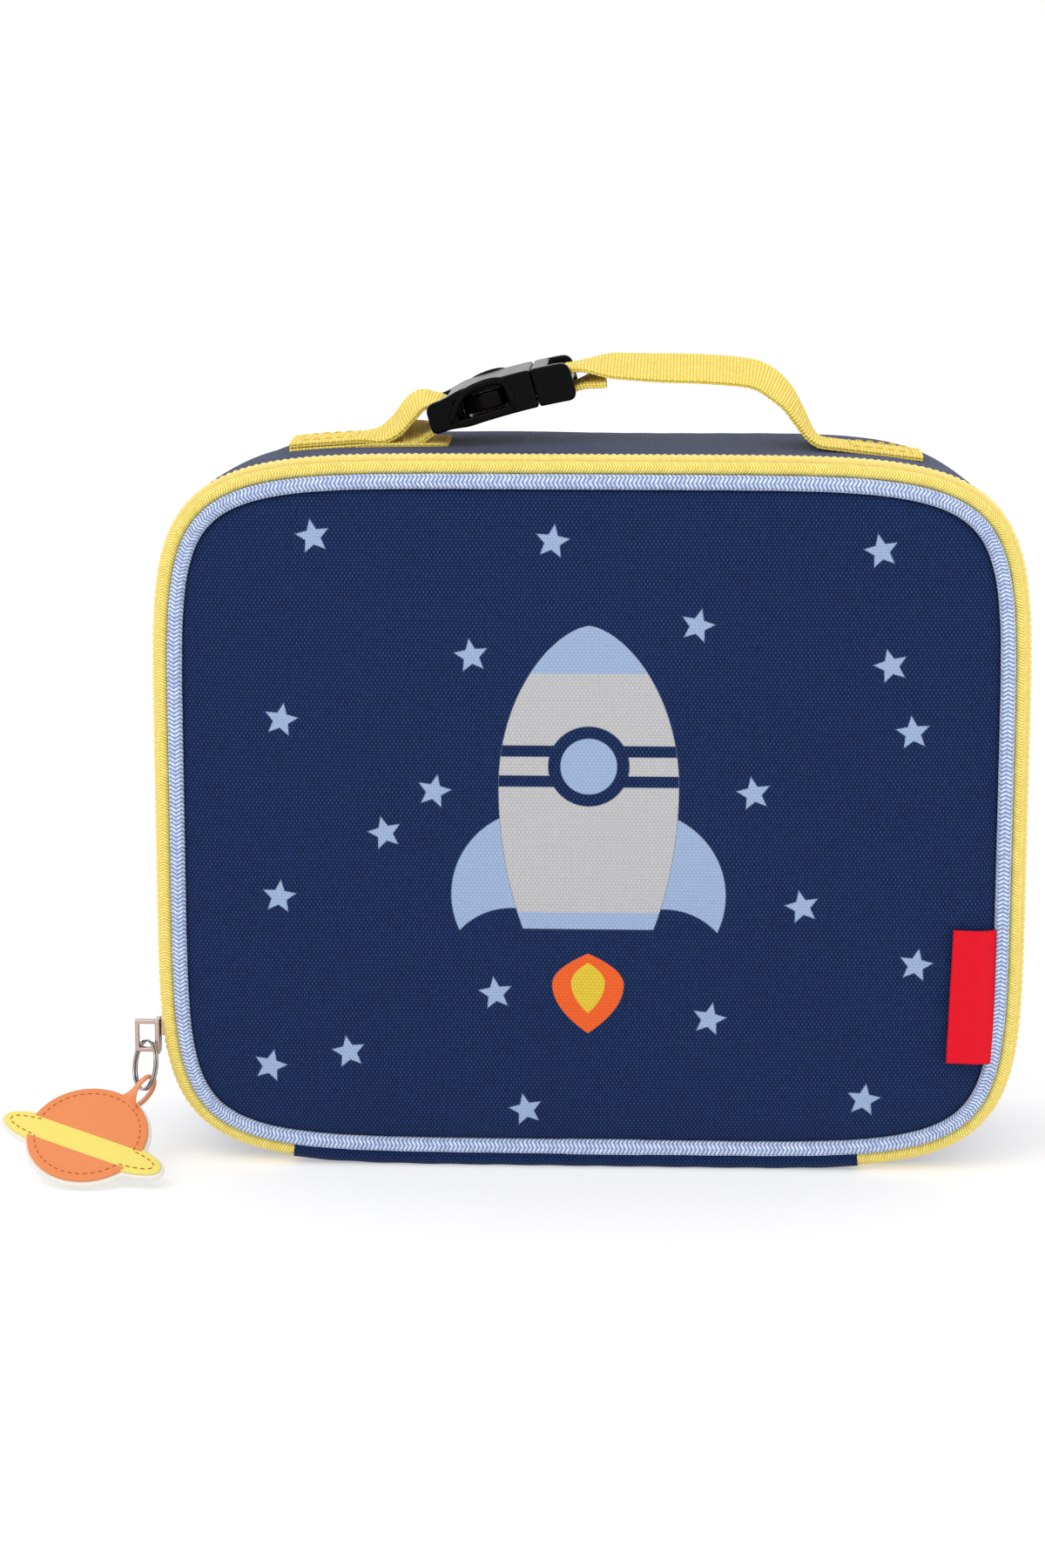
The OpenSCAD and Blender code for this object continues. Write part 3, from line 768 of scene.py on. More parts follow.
def piping(name, y, tuck=0.0):
    """A circle of points about the seam line, with slow waves in its radius, and thicker where
    the strip's ends overlap."""
    count, sides = 1000, 16
    s = np.linspace(-SEAM / 2, SEAM / 2, count, endpoint=False)
    turn = np.linspace(0, 2 * np.pi, sides, endpoint=False)
    lap = 0.5 * (np.tanh((s + 6) * 3) - np.tanh((s - 14.6) * 3))
    radius = PIPING_R * (1 + 0.07 * lap + 0.012 * np.sin(s / 2.3) * np.sin(s / 31))[:, None]
    inset = PIPING_INSET + tuck * corner(s)[:, None] - radius * np.cos(turn)
    depth = y + radius * np.sin(turn)
    v = np.linspace(0, 2 * np.pi * PIPING_R, sides + 1)
    u = np.append(s, SEAM / 2)
    return grid_piece(name, around(s, inset, depth), u, v, [piping_cloth], True, True)


front_piping = piping("lid_piping", -34.7)
belongs(front_piping, "lid", "piping_blue", "front_piping")
back_piping = piping("rear_piping", 35.0, BACK_TUCK)
belongs(back_piping, "case", "piping_blue", "back_piping")

# %% [markdown]
# ## The zip
# A band of woven tape turns round a soft edge from the piping's seam to the coil. The coil is a
# nylon spiral: on each half a row of slanting bumps. The bumps come from a wave in the inset,
# with the phase shifted across the coil so that they slant.

# %% Zip tape, coil and binding
ZIP_START, ZIP_END = 70.0, SEAM - 77.0


def seam_wave(size, length):
    """A wave of that size in the inset, size sin(s / length), as sewing leaves in a strip."""
    return lambda s, v: size * np.sin(s / length)


tape_profile = round_profile(
    [(4.6, -32.4), (4.3, -33.4), (3.8, -34.3), (2.8, -34.9), (1.7, -34.6), (1.0, -33.6),
     (0.8, -32.2), (1.1, -31.3), (1.8, -31.1), (3.0, -31.3), (4.2, -31.6)], 3)
lid_tape = hoop_piece("lid_zip_tape", tape_profile, [tape_cloth], ZIP_START - 2, ZIP_END + 2,
                      step=1.2, shift=seam_wave(0.05, 1.9))
belongs(lid_tape, "lid", "zip_yellow", "front_zip_tape")

rear_tape = hoop_piece("rear_zip_band", round_profile(
    [(1.0, -27.3), (1.8, -27.3), (1.9, -25.0), (1.9, -21.0), (1.1, -21.0), (1.0, -25.0)], 2),
    [tape_cloth], ZIP_START, ZIP_END, step=3)
belongs(rear_tape, "case", "zip_yellow", "rear_zip_tape")

COIL_PITCH = 1.9


def coil(name, low, high, slant):
    """A rounded bar between depths low and high whose outer side swells once a pitch."""
    mid, half = (low + high) / 2, (high - low) / 2
    turn = np.linspace(0, 2 * np.pi, 12, endpoint=False)
    cos, sin = np.cos(turn), np.sin(turn)
    base = np.stack([0.95 - 1.35 * rounded(cos, 0.7), mid + half * rounded(sin, 0.7)], -1)

    def teeth(s, v):
        wave = np.cos(2 * np.pi * s / COIL_PITCH + slant * np.sin(turn)[None] * 1.8)
        return -0.16 * wave * np.clip(cos, 0, 1)[None]

    return hoop_piece(name, base, [coil_nylon], ZIP_START, ZIP_END, step=0.3, shift=teeth)


lid_coil = coil("lid_zip_coil", -31.0, -28.98, 1)
belongs(lid_coil, "lid", "zip_yellow", "front_zip_coil")
rear_coil = coil("rear_zip_teeth", -28.92, -26.95, -1)
belongs(rear_coil, "case", "zip_yellow", "rear_zip_coil")

case_binding = hoop_piece("mouth_binding", round_profile(
    [(2.4, -26.2), (4.2, -26.2), (5.8, -26.9), (7.6, -27.0), (8.3, -25.6), (8.0, -23.0),
     (6.9, -23.0), (6.6, -25.6), (2.4, -25.6)], 3), [binding_cloth], step=1.6,
    shift=seam_wave(0.08, 1.3))
belongs(case_binding, "case", "binding_grey", "case_binding")
lid_binding = hoop_piece("lid_seam_binding", round_profile(
    [(4.4, -31.9), (4.4, -31.0), (7.0, -30.4), (10.6, -30.4), (11.6, -30.8), (11.6, -31.6),
     (8.0, -31.9)], 3), [binding_cloth], step=1.6, shift=seam_wave(0.08, 1.3))
belongs(lid_binding, "lid", "binding_grey", "lid_binding")

# %% [markdown]
# ## The cloth hinge
# Along the bottom there is no zip: a strip of the same canvas joins lid and case. It follows
# the lid's tape round to the case, as one sheet.

# %% The cloth hinge and the zip's end tabs
strip_out = round_profile([(4.5, -33.3), (3.7, -34.5), (2.2, -35.1), (0.8, -34.4), (-0.1, -33.0),
                           (-0.2, -31), (-0.2, -28), (-0.1, -25.5)], 4, closed=False)
strip_in = strip_out + np.array([0.8, 0.25])
hinge_profile = np.concatenate([strip_out, strip_in[::-1]])
hinge = hoop_piece("cloth_hinge", hinge_profile, [canvas], -79, 72, step=1.0,
                   shift=seam_wave(0.07, 2.1))
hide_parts("hinge_fabric")
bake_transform(hinge)


def pillow(name, low, high, materials, power=5.0):
    """A soft box: a superellipsoid between two corners in mm, so all its edges are round."""
    low, high = np.array(low, float), np.array(high, float)
    mid, half = (low + high) / 2, (high - low) / 2
    a = np.linspace(-np.pi / 2, np.pi / 2, 19)
    b = np.linspace(0, 2 * np.pi, 40, endpoint=False)

    def soft(value):
        return rounded(value, 2 / power)

    shape = np.stack([soft(np.cos(a))[None] * soft(np.cos(b))[:, None],
                      soft(np.cos(a))[None] * soft(np.sin(b))[:, None],
                      soft(np.sin(a))[None] + 0 * b[:, None]], -1)
    points = mid + half * shape
    faces, row, col = quads(len(b), len(a), True, False)
    flat = points[row % len(b), col].reshape(-1, 3)
    return finish_mesh(name, points, faces.tolist(), flat[:, [0, 2]] * MM, materials, sharp=60)


for side, x in (("left", -80.0), ("right", 73.0)):
    tab = pillow(f"zip_end_{side}", (x - 4, -28.5, 2.3), (x + 4, -27.1, 7.0), [canvas])
    belongs(tab, "case", "canvas_navy", f"zip_end_tab_{side}")

# %% [markdown]
# ## Inside: mesh pocket, its edge and the name patch
# These show when the lid is open. The mesh sags a little from its bound top edge.

# %% Pocket and patch
POCKET_HALF, POCKET_LOW, POCKET_HIGH, POCKET_SAG = 85, 34, 120, 1.6
cols, rows = 60, 40
gx, gz = np.meshgrid(np.linspace(-POCKET_HALF, POCKET_HALF, cols),
                     np.linspace(POCKET_LOW, POCKET_HIGH, rows))
sag = POCKET_SAG * np.sin(np.pi * (gx + POCKET_HALF) / (2 * POCKET_HALF)) \
    * np.clip((gz - POCKET_LOW) / (POCKET_HIGH - POCKET_LOW), 0, 1) ** 1.5
net = np.stack([gx, -30.3 + sag, gz], -1)
faces, row, col = quads(rows, cols, False, False)
flat = net[row, col].reshape(-1, 3)
mesh_pocket = finish_mesh("mesh_pocket_net", net, faces.tolist(), flat[:, [0, 2]] * MM,
                          [pocket_mesh], sharp=80)
mesh_pocket.modifiers.new("thickness", "SOLIDIFY").thickness = 0.25 * MM
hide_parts("mesh_pocket")
belongs(mesh_pocket, "lid", "mesh_grey")

s_top = np.linspace(-86, 86, 120)
turn = np.linspace(0, 2 * np.pi, 16, endpoint=False)
edge_y = -29.9 + POCKET_SAG * np.sin(
    np.pi * np.clip((s_top + POCKET_HALF) / (2 * POCKET_HALF), 0, 1))
hem_points = np.stack([
    s_top[:, None] + 0 * turn,
    edge_y[:, None] + 0.8 * rounded(np.cos(turn), 0.6),
    122 + 4 * rounded(np.sin(turn), 0.5)
    + 0.15 * np.sin(s_top / 2)[:, None]], -1)
pocket_hem = grid_piece("pocket_hem", hem_points, s_top, np.linspace(0, 18, 17), [canvas])
belongs(pocket_hem, "lid", "canvas_navy", "pocket_binding")

patch = pillow("name_patch_cloth", (-30, 30.2, 120), (30, 31.1, 146), [patch_cloth], 9.0)
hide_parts("name_patch")
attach(patch, "case")

# %% [markdown]
# ## Side label
# A plain woven label is folded and sewn into the piping seam at the right. It follows the
# panel's shoulder, and its free edge lifts a little.

# %% Side label
lu, lv = np.meshgrid(np.linspace(0, 1, 24), np.linspace(0, 1, 50), indexing="ij")
label_x = 95.0 + 12 * lu + 1.2 * (lv - 0.5) * (1 - lu)
label_z = 30.8 + 36 * lv + 0.5 * (1 - lu)
lie = -37.3 + 3.4 * np.clip((label_x - 101) / 7, 0, 1) ** 2 - 0.35
lift = -0.5 * (1 - lu) ** 2 * (0.6 + 0.4 * np.sin(3 * lv))
label_points = np.stack([label_x, lie + lift - 0.9, label_z], -1)
faces, row, col = quads(24, 50, False, False)
flat = label_points[row, col].reshape(-1, 3)
label = finish_mesh("side_label_cloth", label_points, faces.tolist(), flat[:, [0, 2]] * MM,
                    [label_cloth], sharp=80)
label.modifiers.new("thickness", "SOLIDIFY").thickness = 0.6 * MM
belongs(label, "lid", "label_red", "side_label")

# %% [markdown]
# ## Webbing
# The handle is one path in the plane of the bag for each strap. The points keep near the CAD
# straps, a little lower, and are joined by a Catmull-Rom curve. Webbing has soft edges and
# crosswise ribs, so the cross-section is a flat superellipse whose thickness ripples along the
# path.

# %% Webbing paths
WEB_W, WEB_T, HANDLE_Y, FREE_Z = 20.0, 1.8, -2.0, 202
TILT = math.radians(16)
SEAT = np.array([-15.0, 205.3])


def direction(angle):
    return np.array([math.cos(angle), math.sin(angle)])


def on_buckle(x, z):
    """A point of the buckle's own axes, in X and Z of the bag."""
    return SEAT + x * direction(TILT) + z * direction(TILT + math.pi / 2)


def catmull(points, n=10):
    """Catmull-Rom curve through the points, n steps to each stretch."""
    p = np.asarray(points, float)
    q = np.concatenate([p[:1], p, p[-1:]])
    a, b, c, d = (q[k:len(q) - 3 + k][:, None] for k in range(4))
    t = np.linspace(0, 1, n, endpoint=False)[None, :, None]
    curve = 0.5 * (2 * b + (c - a) * t + (2 * a - 5 * b + 4 * c - d) * t ** 2
                   + (3 * b - a - 3 * c + d) * t ** 3)
    return np.concatenate([curve.reshape(-1, 2), p[-1:]])


def wrap(centre, start, end, radius=2.7):
    """Points on an arc about a buckle bar, between two angles in degrees."""
    angle = np.radians(np.linspace(start, end, 24))[:, None]
    return centre + radius * np.concatenate([np.cos(angle), np.sin(angle)], 1)


def top_drop(x):
    """How far the top of the bowed outline lies below its middle, at x."""
    return HALF_H - HALF_H * (1 - np.abs(x / HALF_W) ** POWER) ** (1 / POWER)


def even(path, step=0.3):
    """The path resampled at equal lengths, laid down on the bowed top where it is sewn on, and
    let go of it over the 9 mm below the height where it hangs free."""
    path = path.copy()
    low = np.clip((FREE_Z - path[:, 1]) / 9, 0, 1)
    path[:, 1] -= top_drop(path[:, 0]) * low
    s = run_length(path[:, 0], path[:, 1])
    keep = np.concatenate([[True], np.diff(s) > 1e-6])
    t = np.arange(0, s[-1], step)
    return np.stack([np.interp(t, s[keep], path[keep, k]) for k in (0, 1)], -1), t


def webbing(name, path, roll_at=((0, 0),), ripple=0.06, lower=0.0):
    """A flat superellipse cross-section carried along a path in X and Z, with crosswise ribs.
    roll_at gives pairs of x in mm and roll in degrees: a rolled strap shows its top in front."""
    centre, s = even(path)
    centre[:, 1] -= lower
    tangent = np.gradient(centre, axis=0)
    tangent /= np.linalg.norm(tangent, axis=1)[:, None]
    kernel = np.ones(7) / 7
    pad = np.pad(tangent, ((3, 3), (0, 0)), mode="edge")
    tangent = np.stack([np.convolve(pad[:, k], kernel, "valid") for k in (0, 1)], -1)
    normal = np.stack([-tangent[:, 1], tangent[:, 0]], -1)
    turn = np.linspace(0, 2 * np.pi, 44, endpoint=False)
    across = rounded(np.cos(turn), 0.35) * WEB_W / 2
    thick = rounded(np.sin(turn), 0.35) * WEB_T / 2
    rib = 1 + ripple * np.cos(2 * np.pi * s / 1.7)[:, None]
    edge_wave = 0.12 * np.sin(s / 3.3)[:, None]
    places, turns = np.array(roll_at, float).T
    roll = np.radians(np.interp(centre[:, 0], places, turns))
    roll = np.convolve(np.pad(roll, 8, mode="edge"), np.ones(17) / 17, "valid")[:, None]
    up = np.sign(normal[:, 1:] + 1e-9)
    offset = thick * rib * np.cos(roll) + up * across * np.sin(roll)
    sideways = across * np.cos(roll) - up * thick * rib * np.sin(roll)
    points = np.stack([centre[:, :1] + normal[:, :1] * offset,
                       HANDLE_Y + sideways + edge_wave,
                       centre[:, 1:] + normal[:, 1:] * offset], -1)
    girth = run_length(np.append(across, across[0]), np.append(thick, thick[0]))
    return grid_piece(name, points, s, girth, [webbing_cloth])


anchor_mid, upper_mid = 190 + WEB_T / 2, 190 + 1.5 * WEB_T
plug_bar = on_buckle(8.6, 0)
left_path = np.concatenate([
    [[-80.0, upper_mid]],
    catmull([[-60, upper_mid], [-56, upper_mid + 0.5], [-52, upper_mid + 3.0],
             [-48.8, upper_mid + 6.8], [-45.8, upper_mid + 9.2], on_buckle(-27.3, 4.6)]),
    wrap(on_buckle(-27.3, 1.0), 96, -64, 3.6),
    catmull([on_buckle(-27.3, -2.7), [-45.3, upper_mid + 1], [-50.5, upper_mid + 0.2]])])
right_path = np.concatenate([
    catmull([on_buckle(8.6, -2.7), [-2.5, 206.6], [3.2, 208.3]])[::-1],
    wrap(plug_bar, 276, 116),
    catmull([on_buckle(8.6, 2.7), [-3, 211], [4, 211.1], [16, 210.6], [29, 210.3], [40, 209.4],
             [45.5, 207.6], [50.8, 203.2], [54.4, 198], [57.2, 193.6], [60, 191.4],
             [64, anchor_mid]]),
    [[87.0, anchor_mid]]])

anchor = webbing("anchor_left", np.array([[-80.0, anchor_mid], [-60, anchor_mid],
                                          [-38.0, anchor_mid]]), lower=0.2)
belongs(anchor, "case", "webbing_yellow", "handle_anchor_left")
strap_left = webbing("webbing_left", left_path,
                     ((-60, 0), (-54, 10), (-48, 14), (-44, 8), (-42, 0)), lower=0.45)
belongs(strap_left, "case", "webbing_yellow", "strap_left")
strap_right = webbing("webbing_right", right_path,
                      ((-3, 0), (4, 12), (20, 15), (48, 15), (56, 6), (60, 0)), lower=0.1)
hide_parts("strap_right")
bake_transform(strap_right)

# %% [markdown]
# ## Stitches
# A stitch is a short round stroke of thread that dips into the cloth at both ends. One small
# capsule is placed many times along a line, all at once with array arithmetic.

# %% Stitches


def stitches(name, points, normals, material, length=2.6, gap=0.9, width=0.34):
    """Capsules along a polyline in mm. Each has seven rings of six points, and lies along the
    line's tangent with its top towards the normal."""
    points, normals = np.asarray(points, float), np.asarray(normals, float)
    s = np.concatenate([[0], np.cumsum(np.linalg.norm(np.diff(points, axis=0), axis=1))])
    count = max(int(s[-1] // (length + gap)), 1)
    centre_s = (np.arange(count) + 0.5) * s[-1] / count
    along = np.linspace(-0.5, 0.5, 7)
    place = centre_s[:, None] + along[None] * length
    at = np.stack([np.interp(place, s, points[:, k]) for k in range(3)], -1)
    up = np.stack([np.interp(place, s, normals[:, k]) for k in range(3)], -1)
    tangent = np.gradient(at, axis=1)
    tangent /= np.linalg.norm(tangent, axis=-1)[..., None]
    side = np.cross(tangent, up)
    side /= np.linalg.norm(side, axis=-1)[..., None]
    swell = np.sqrt(np.clip(1 - (2 * along) ** 4, 0.0, 1))
    turn = np.linspace(0, 2 * np.pi, 6, endpoint=False)
    ring = (side[:, :, None] * np.cos(turn)[None, None, :, None]
            + up[:, :, None] * np.sin(turn)[None, None, :, None])
    rings, sides = len(along), len(turn)
    grid = at[:, :, None] + ring * (width * swell)[None, :, None, None] \
        - up[:, :, None] * (width * 0.7 * (1 - swell))[None, :, None, None]
    faces, row, col = quads(rings, sides, False, True)
    all_faces = (faces[None] + (np.arange(count) * rings * sides)[:, None, None]).reshape(-1, 4)
    uv = np.tile(np.stack([row * length / 6, col * width], -1)[None], (count, 1, 1, 1))
    return finish_mesh(name, grid, all_faces.tolist(), uv.reshape(-1, 2) * MM, [material])


def line3(points, n=60):
    """Corners joined by straight lines, with n points in each."""
    p = np.asarray(points, float)
    t = np.linspace(0, 1, n)[:, None]
    return np.concatenate([a + (b - a) * t for a, b in zip(p[:-1], p[1:])])


def on_top(x, lift):
    """Height of the sewn webbing's top at x."""
    return 190 - top_drop(x) + lift


def strap_box(name, x0, x1, lift):
    """A rectangle of stitches on the sewn end of a strap."""
    corners = line3([(x0, -9, 0), (x1, -9, 0), (x1, 5, 0), (x0, 5, 0), (x0, -9, 0)])
    corners[:, 2] = on_top(corners[:, 0], lift)
    piece = stitches(name, corners, np.tile([0, 0, 1.0], (len(corners), 1)), yellow_thread, 2.2,
                     0.8, 0.2)
    belongs(piece, "case", "webbing_yellow")


strap_box("stitch_strap_left", -77.5, -62.5, 3.02)
strap_box("stitch_strap_right", 68, 84, 1.56)

# %% [markdown]
# ## Hard parts
# The buckle and the slider start from their CAD shapes. Each is copied, its loose triangles are
# merged, and it is rebuilt as an even mesh of small voxels. Smoothing that mesh rounds every edge
# by about the same radius, as a mould does, and the buckle is then bowed to its real curve.

# %% Buckle and slider


def mould_buckle(at):
    """Bends points in metres as the real mould does: the middle rises along the buckle as
    1 - x^2, the strap end is thinner, and the sides swell a little beside the window."""
    local = np.stack([at[:, 0] / MM - SEAT[0], at[:, 2] / MM - SEAT[1]], -1)
    x, z = local @ direction(TILT), local @ direction(TILT + math.pi / 2)
    thin = np.clip((-18 - x) / 7, 0, 1)
    thin = thin * thin * (3 - 2 * thin)
    z = z * (1.06 - 0.2 * thin) + 1.1 * (1 - ((x + 9) / 20) ** 2)
    flat = SEAT + x[:, None] * direction(TILT) + z[:, None] * direction(TILT + math.pi / 2)
    depth = (at[:, 1] / MM - HANDLE_Y) * (1 + 0.03 * np.clip(1 - ((x + 13) / 13) ** 2, 0, 1))
    return np.stack([flat[:, 0], depth + HANDLE_Y, flat[:, 1]], -1) * MM


def refined(name, node, body, material, voxel, rounds, slot, bend=None):
    """A copy of a CAD node: its points merged, made an even mesh of voxels, its edges softened,
    and its points moved by bend, which takes and returns an array of points."""
    mesh = nodes[node].data.copy()
    mesh.materials.clear()
    mesh.materials.append(material)
    work = bmesh.new()
    work.from_mesh(mesh)
    bmesh.ops.remove_doubles(work, verts=work.verts, dist=1e-6)
    bmesh.ops.recalc_face_normals(work, faces=work.faces)
    work.to_mesh(mesh)
    work.free()
    draft = bpy.data.objects.new(name + "_draft", mesh)
    bpy.context.scene.collection.objects.link(draft)
    blocks = draft.modifiers.new("even_mesh", "REMESH")
    blocks.mode, blocks.voxel_size, blocks.use_smooth_shade = "VOXEL", voxel, True
    soften = draft.modifiers.new("rounding", "SMOOTH")
    soften.factor, soften.iterations = 0.5, rounds
    solid = draft.evaluated_get(bpy.context.evaluated_depsgraph_get())
    mesh = bpy.data.meshes.new_from_object(solid)
    bpy.data.objects.remove(draft)
    mesh.name = name
    at = np.empty(len(mesh.vertices) * 3)
    mesh.vertices.foreach_get("co", at)
    if bend is not None:
        at = bend(at.reshape(-1, 3))
        mesh.vertices.foreach_set("co", at.ravel())
    if not mesh.materials:
        mesh.materials.append(material)
    mesh.polygons.foreach_set("material_index", [0] * len(mesh.polygons))
    mesh.update()
    piece = bpy.data.objects.new(name, mesh)
    bpy.context.scene.collection.objects.link(piece)
    belongs(piece, body, slot, node)
    print(f"{name}: {len(mesh.polygons)} faces")
    return piece


nodes = frame["nodes"]
for name, node, body in (("buckle_socket_body", "buckle_socket", "case"),
                         ("buckle_plug_body", "buckle_plug", "plug"),
                         ("buckle_front_arm", "buckle_arm_front", "arm_front"),
                         ("buckle_rear_arm", "buckle_arm_rear", "arm_rear")):
    refined(name, node, body, buckle_plastic, 0.32 * MM, 28, "buckle_black", mould_buckle)
refined("slider_body", "zip_slider", "slider", slider_metal, 0.14 * MM, 20, "zip_metal")


def from_buckle(points):
    """From the buckle's own axes to the bag's, through the mould's bend. Points are in mm."""
    x, y, z = points[..., 0], points[..., 1], points[..., 2]
    flat = SEAT + x[..., None] * direction(TILT) + z[..., None] * direction(TILT + math.pi / 2)
    placed = np.stack([flat[..., 0], y + HANDLE_Y, flat[..., 1]], -1)
    return mould_buckle(placed.reshape(-1, 3) * MM).reshape(points.shape) / MM


rim_line = catmull([[-23.2, -3.6], [-22.6, -1.4], [-20.6, 1.6], [-17.6, 3.6], [-13.5, 4.3],
                    [-9.4, 4.2], [-7.2, 3.2], [-6.4, 0.6], [-6.4, -4.2]], 8)
rim_s = run_length(rim_line[:, 0], rim_line[:, 1])
rim_tangent = np.gradient(rim_line, axis=0)
rim_tangent /= np.linalg.norm(rim_tangent, axis=1)[:, None]
turn = np.linspace(0, 2 * np.pi, 14, endpoint=False)
fade = np.sqrt(np.clip(1 - (2 * rim_s / rim_s[-1] - 1) ** 8, 0.01, 1))[:, None]
for side, word in ((-1, "front"), (1, "rear")):
    rim = np.stack([rim_line[:, :1] - rim_tangent[:, 1:] * np.cos(turn) * fade,
                    side * 13.7 + 0.95 * np.sin(turn) * fade,
                    rim_line[:, 1:] + rim_tangent[:, :1] * np.cos(turn) * fade], -1)
    ridge = grid_piece(f"buckle_{word}_window_rim", from_buckle(rim), rim_s,
                       np.linspace(0, 6.2, 15), [buckle_plastic])
    a, b = np.linspace(-np.pi / 2, np.pi / 2, 15), np.linspace(0, 2 * np.pi, 24, endpoint=False)
    ball = np.stack([np.cos(a)[None] * np.cos(b)[:, None], np.cos(a)[None] * np.sin(b)[:, None],
                     np.sin(a)[None] + 0 * b[:, None]], -1)
    stop = np.array([-21.3, side * 6.5, 0]) + rounded(ball, 0.5) \
        * np.array([1.5, 1.8, 3.6])
    faces, row, col = quads(24, 15, True, False)
    post = finish_mesh(f"buckle_{word}_stop", from_buckle(stop), faces.tolist(),
                       np.stack([row, col], -1).reshape(-1, 2) * MM, [buckle_plastic], sharp=60)
    for extra in (ridge, post):
        belongs(extra, "case", "buckle_black")

# %% [markdown]
# ## Split ring
# A split ring is two turns of one wire pressed together. The centre line is a circle that moves
# sideways by one wire over each turn, and its ends lie against the neighbouring turn.

# %% Split ring
RING_R, WIRE_R = 6.6, 0.6
LEAN, RING_TURN = math.radians(22.4), math.radians(33)
RING_TOP = np.array([-118.7, -29.0, 32.3])


def rotate(points, axis, angle):
    """Points turned about an axis (0 x, 1 y, 2 z) by the right-hand rule."""
    c, s = math.cos(angle), math.sin(angle)
    a, b = [(1, 2), (2, 0), (0, 1)][axis]
    out = points.copy()
    out[..., a] = c * points[..., a] - s * points[..., b]
    out[..., b] = s * points[..., a] + c * points[..., b]
    return out


def place_ring(points):
    """From the ring's own axes, where its top is the origin, to the bag's."""
    return rotate(rotate(points, 2, RING_TURN), 0, -LEAN) + RING_TOP


angle = np.linspace(0, 2 * np.pi * 1.93, 260)
wire = WIRE_R * 0.62
offset_x = np.interp(angle / (2 * np.pi), [0, 0.9, 1.03, 1.93], [-wire, -wire, wire, wire])
ring_centre = np.stack([offset_x, RING_R * np.sin(angle), RING_R * np.cos(angle) - RING_R], -1)
radial = np.stack([0 * angle, np.sin(angle), np.cos(angle)], -1)
turn = np.linspace(0, 2 * np.pi, 14, endpoint=False)
tip = np.sqrt(np.clip(1 - (np.abs(angle / angle[-1] - 0.5) * 2) ** 80, 0.02, 1))[:, None, None]
ring_points = ring_centre[:, None] + wire * 1.02 * tip * (
    radial[:, None] * np.cos(turn)[None, :, None]
    + np.array([1.0, 0, 0]) * np.sin(turn)[None, :, None])
split_ring = grid_piece("split_ring_wire", place_ring(ring_points), angle * RING_R,
                        np.linspace(0, 3.8, 15), [ring_metal])
belongs(split_ring, "ring", "ring_steel", "split_ring")

# %% [markdown]
# ## The charm
# A ringed planet, cut from coated leather on a white backing and stitched round. Each layer is
# a flat outline with a soft edge: rings of the outline shrink towards a centre while the height
# falls off at the rim.

# %% The charm's own axes and outlines
CHARM_LEAN, CHARM_ROLL = math.radians(32), math.radians(-36.7)
PLANET_R, PLANET_Y, HALO_TILT = 16.0, -24.2, math.radians(14)
HALO_L, HALO_W, BAND, RAISED = 47.0, 10.6, 3.4, 3.0
RING_FOOT = RING_TOP - 2 * RING_R * np.array([0, math.sin(LEAN), math.cos(LEAN)])


def place_charm(points):
    """From the charm's own axes to the bag's."""
    return rotate(rotate(points, 2, CHARM_ROLL), 0, CHARM_LEAN) + RING_FOOT


def halo_radius(theta, grow=0.0):
    """Distance to the edge of the planet's ring at an angle: |x/a|^p + |y/b|^p = 1 with p a
    little over two, which is a lens with blunt tips."""
    power = 2.3
    c, s = np.abs(np.cos(theta)), np.abs(np.sin(theta))
    return ((c / (HALO_L / 2 + grow)) ** power + (s / (HALO_W / 2 + grow)) ** power) \
        ** (-1 / power)


def disc_radius(theta, grow=0.0):
    """Distance to the planet's edge from the middle of its ring, which lies below the middle
    of the planet by d: d sin t + square root of (R^2 - d^2 cos^2 t)."""
    across = RAISED * np.cos(theta)
    return RAISED * np.sin(theta) + np.sqrt((PLANET_R + grow) ** 2 - across ** 2)


def planet_outline(grow=0.0, n=360):
    """The planet and its ring together, seen from the ring's middle: the larger radius."""
    theta = np.linspace(0, 2 * np.pi, n, endpoint=False)
    r = np.maximum(disc_radius(theta, grow), halo_radius(theta, grow))
    return np.stack([r * np.cos(theta), r * np.sin(theta)], -1)


def cap_outline(side, n=160):
    """Part of the planet above (side 1) or below (side -1) the band: the arc, then the chord."""
    start = math.asin((side * BAND - RAISED) / PLANET_R)
    arc = np.linspace(start, np.pi - start, n) if side > 0 \
        else np.linspace(np.pi - start, 2 * np.pi + start, n)
    chord = np.linspace(-side, side, n // 2)[1:-1] * PLANET_R * math.cos(start)
    x = np.concatenate([PLANET_R * np.cos(arc), chord])
    y = np.concatenate([RAISED + PLANET_R * np.sin(arc), np.full(len(chord), side * BAND)])
    return np.stack([x, y], -1)


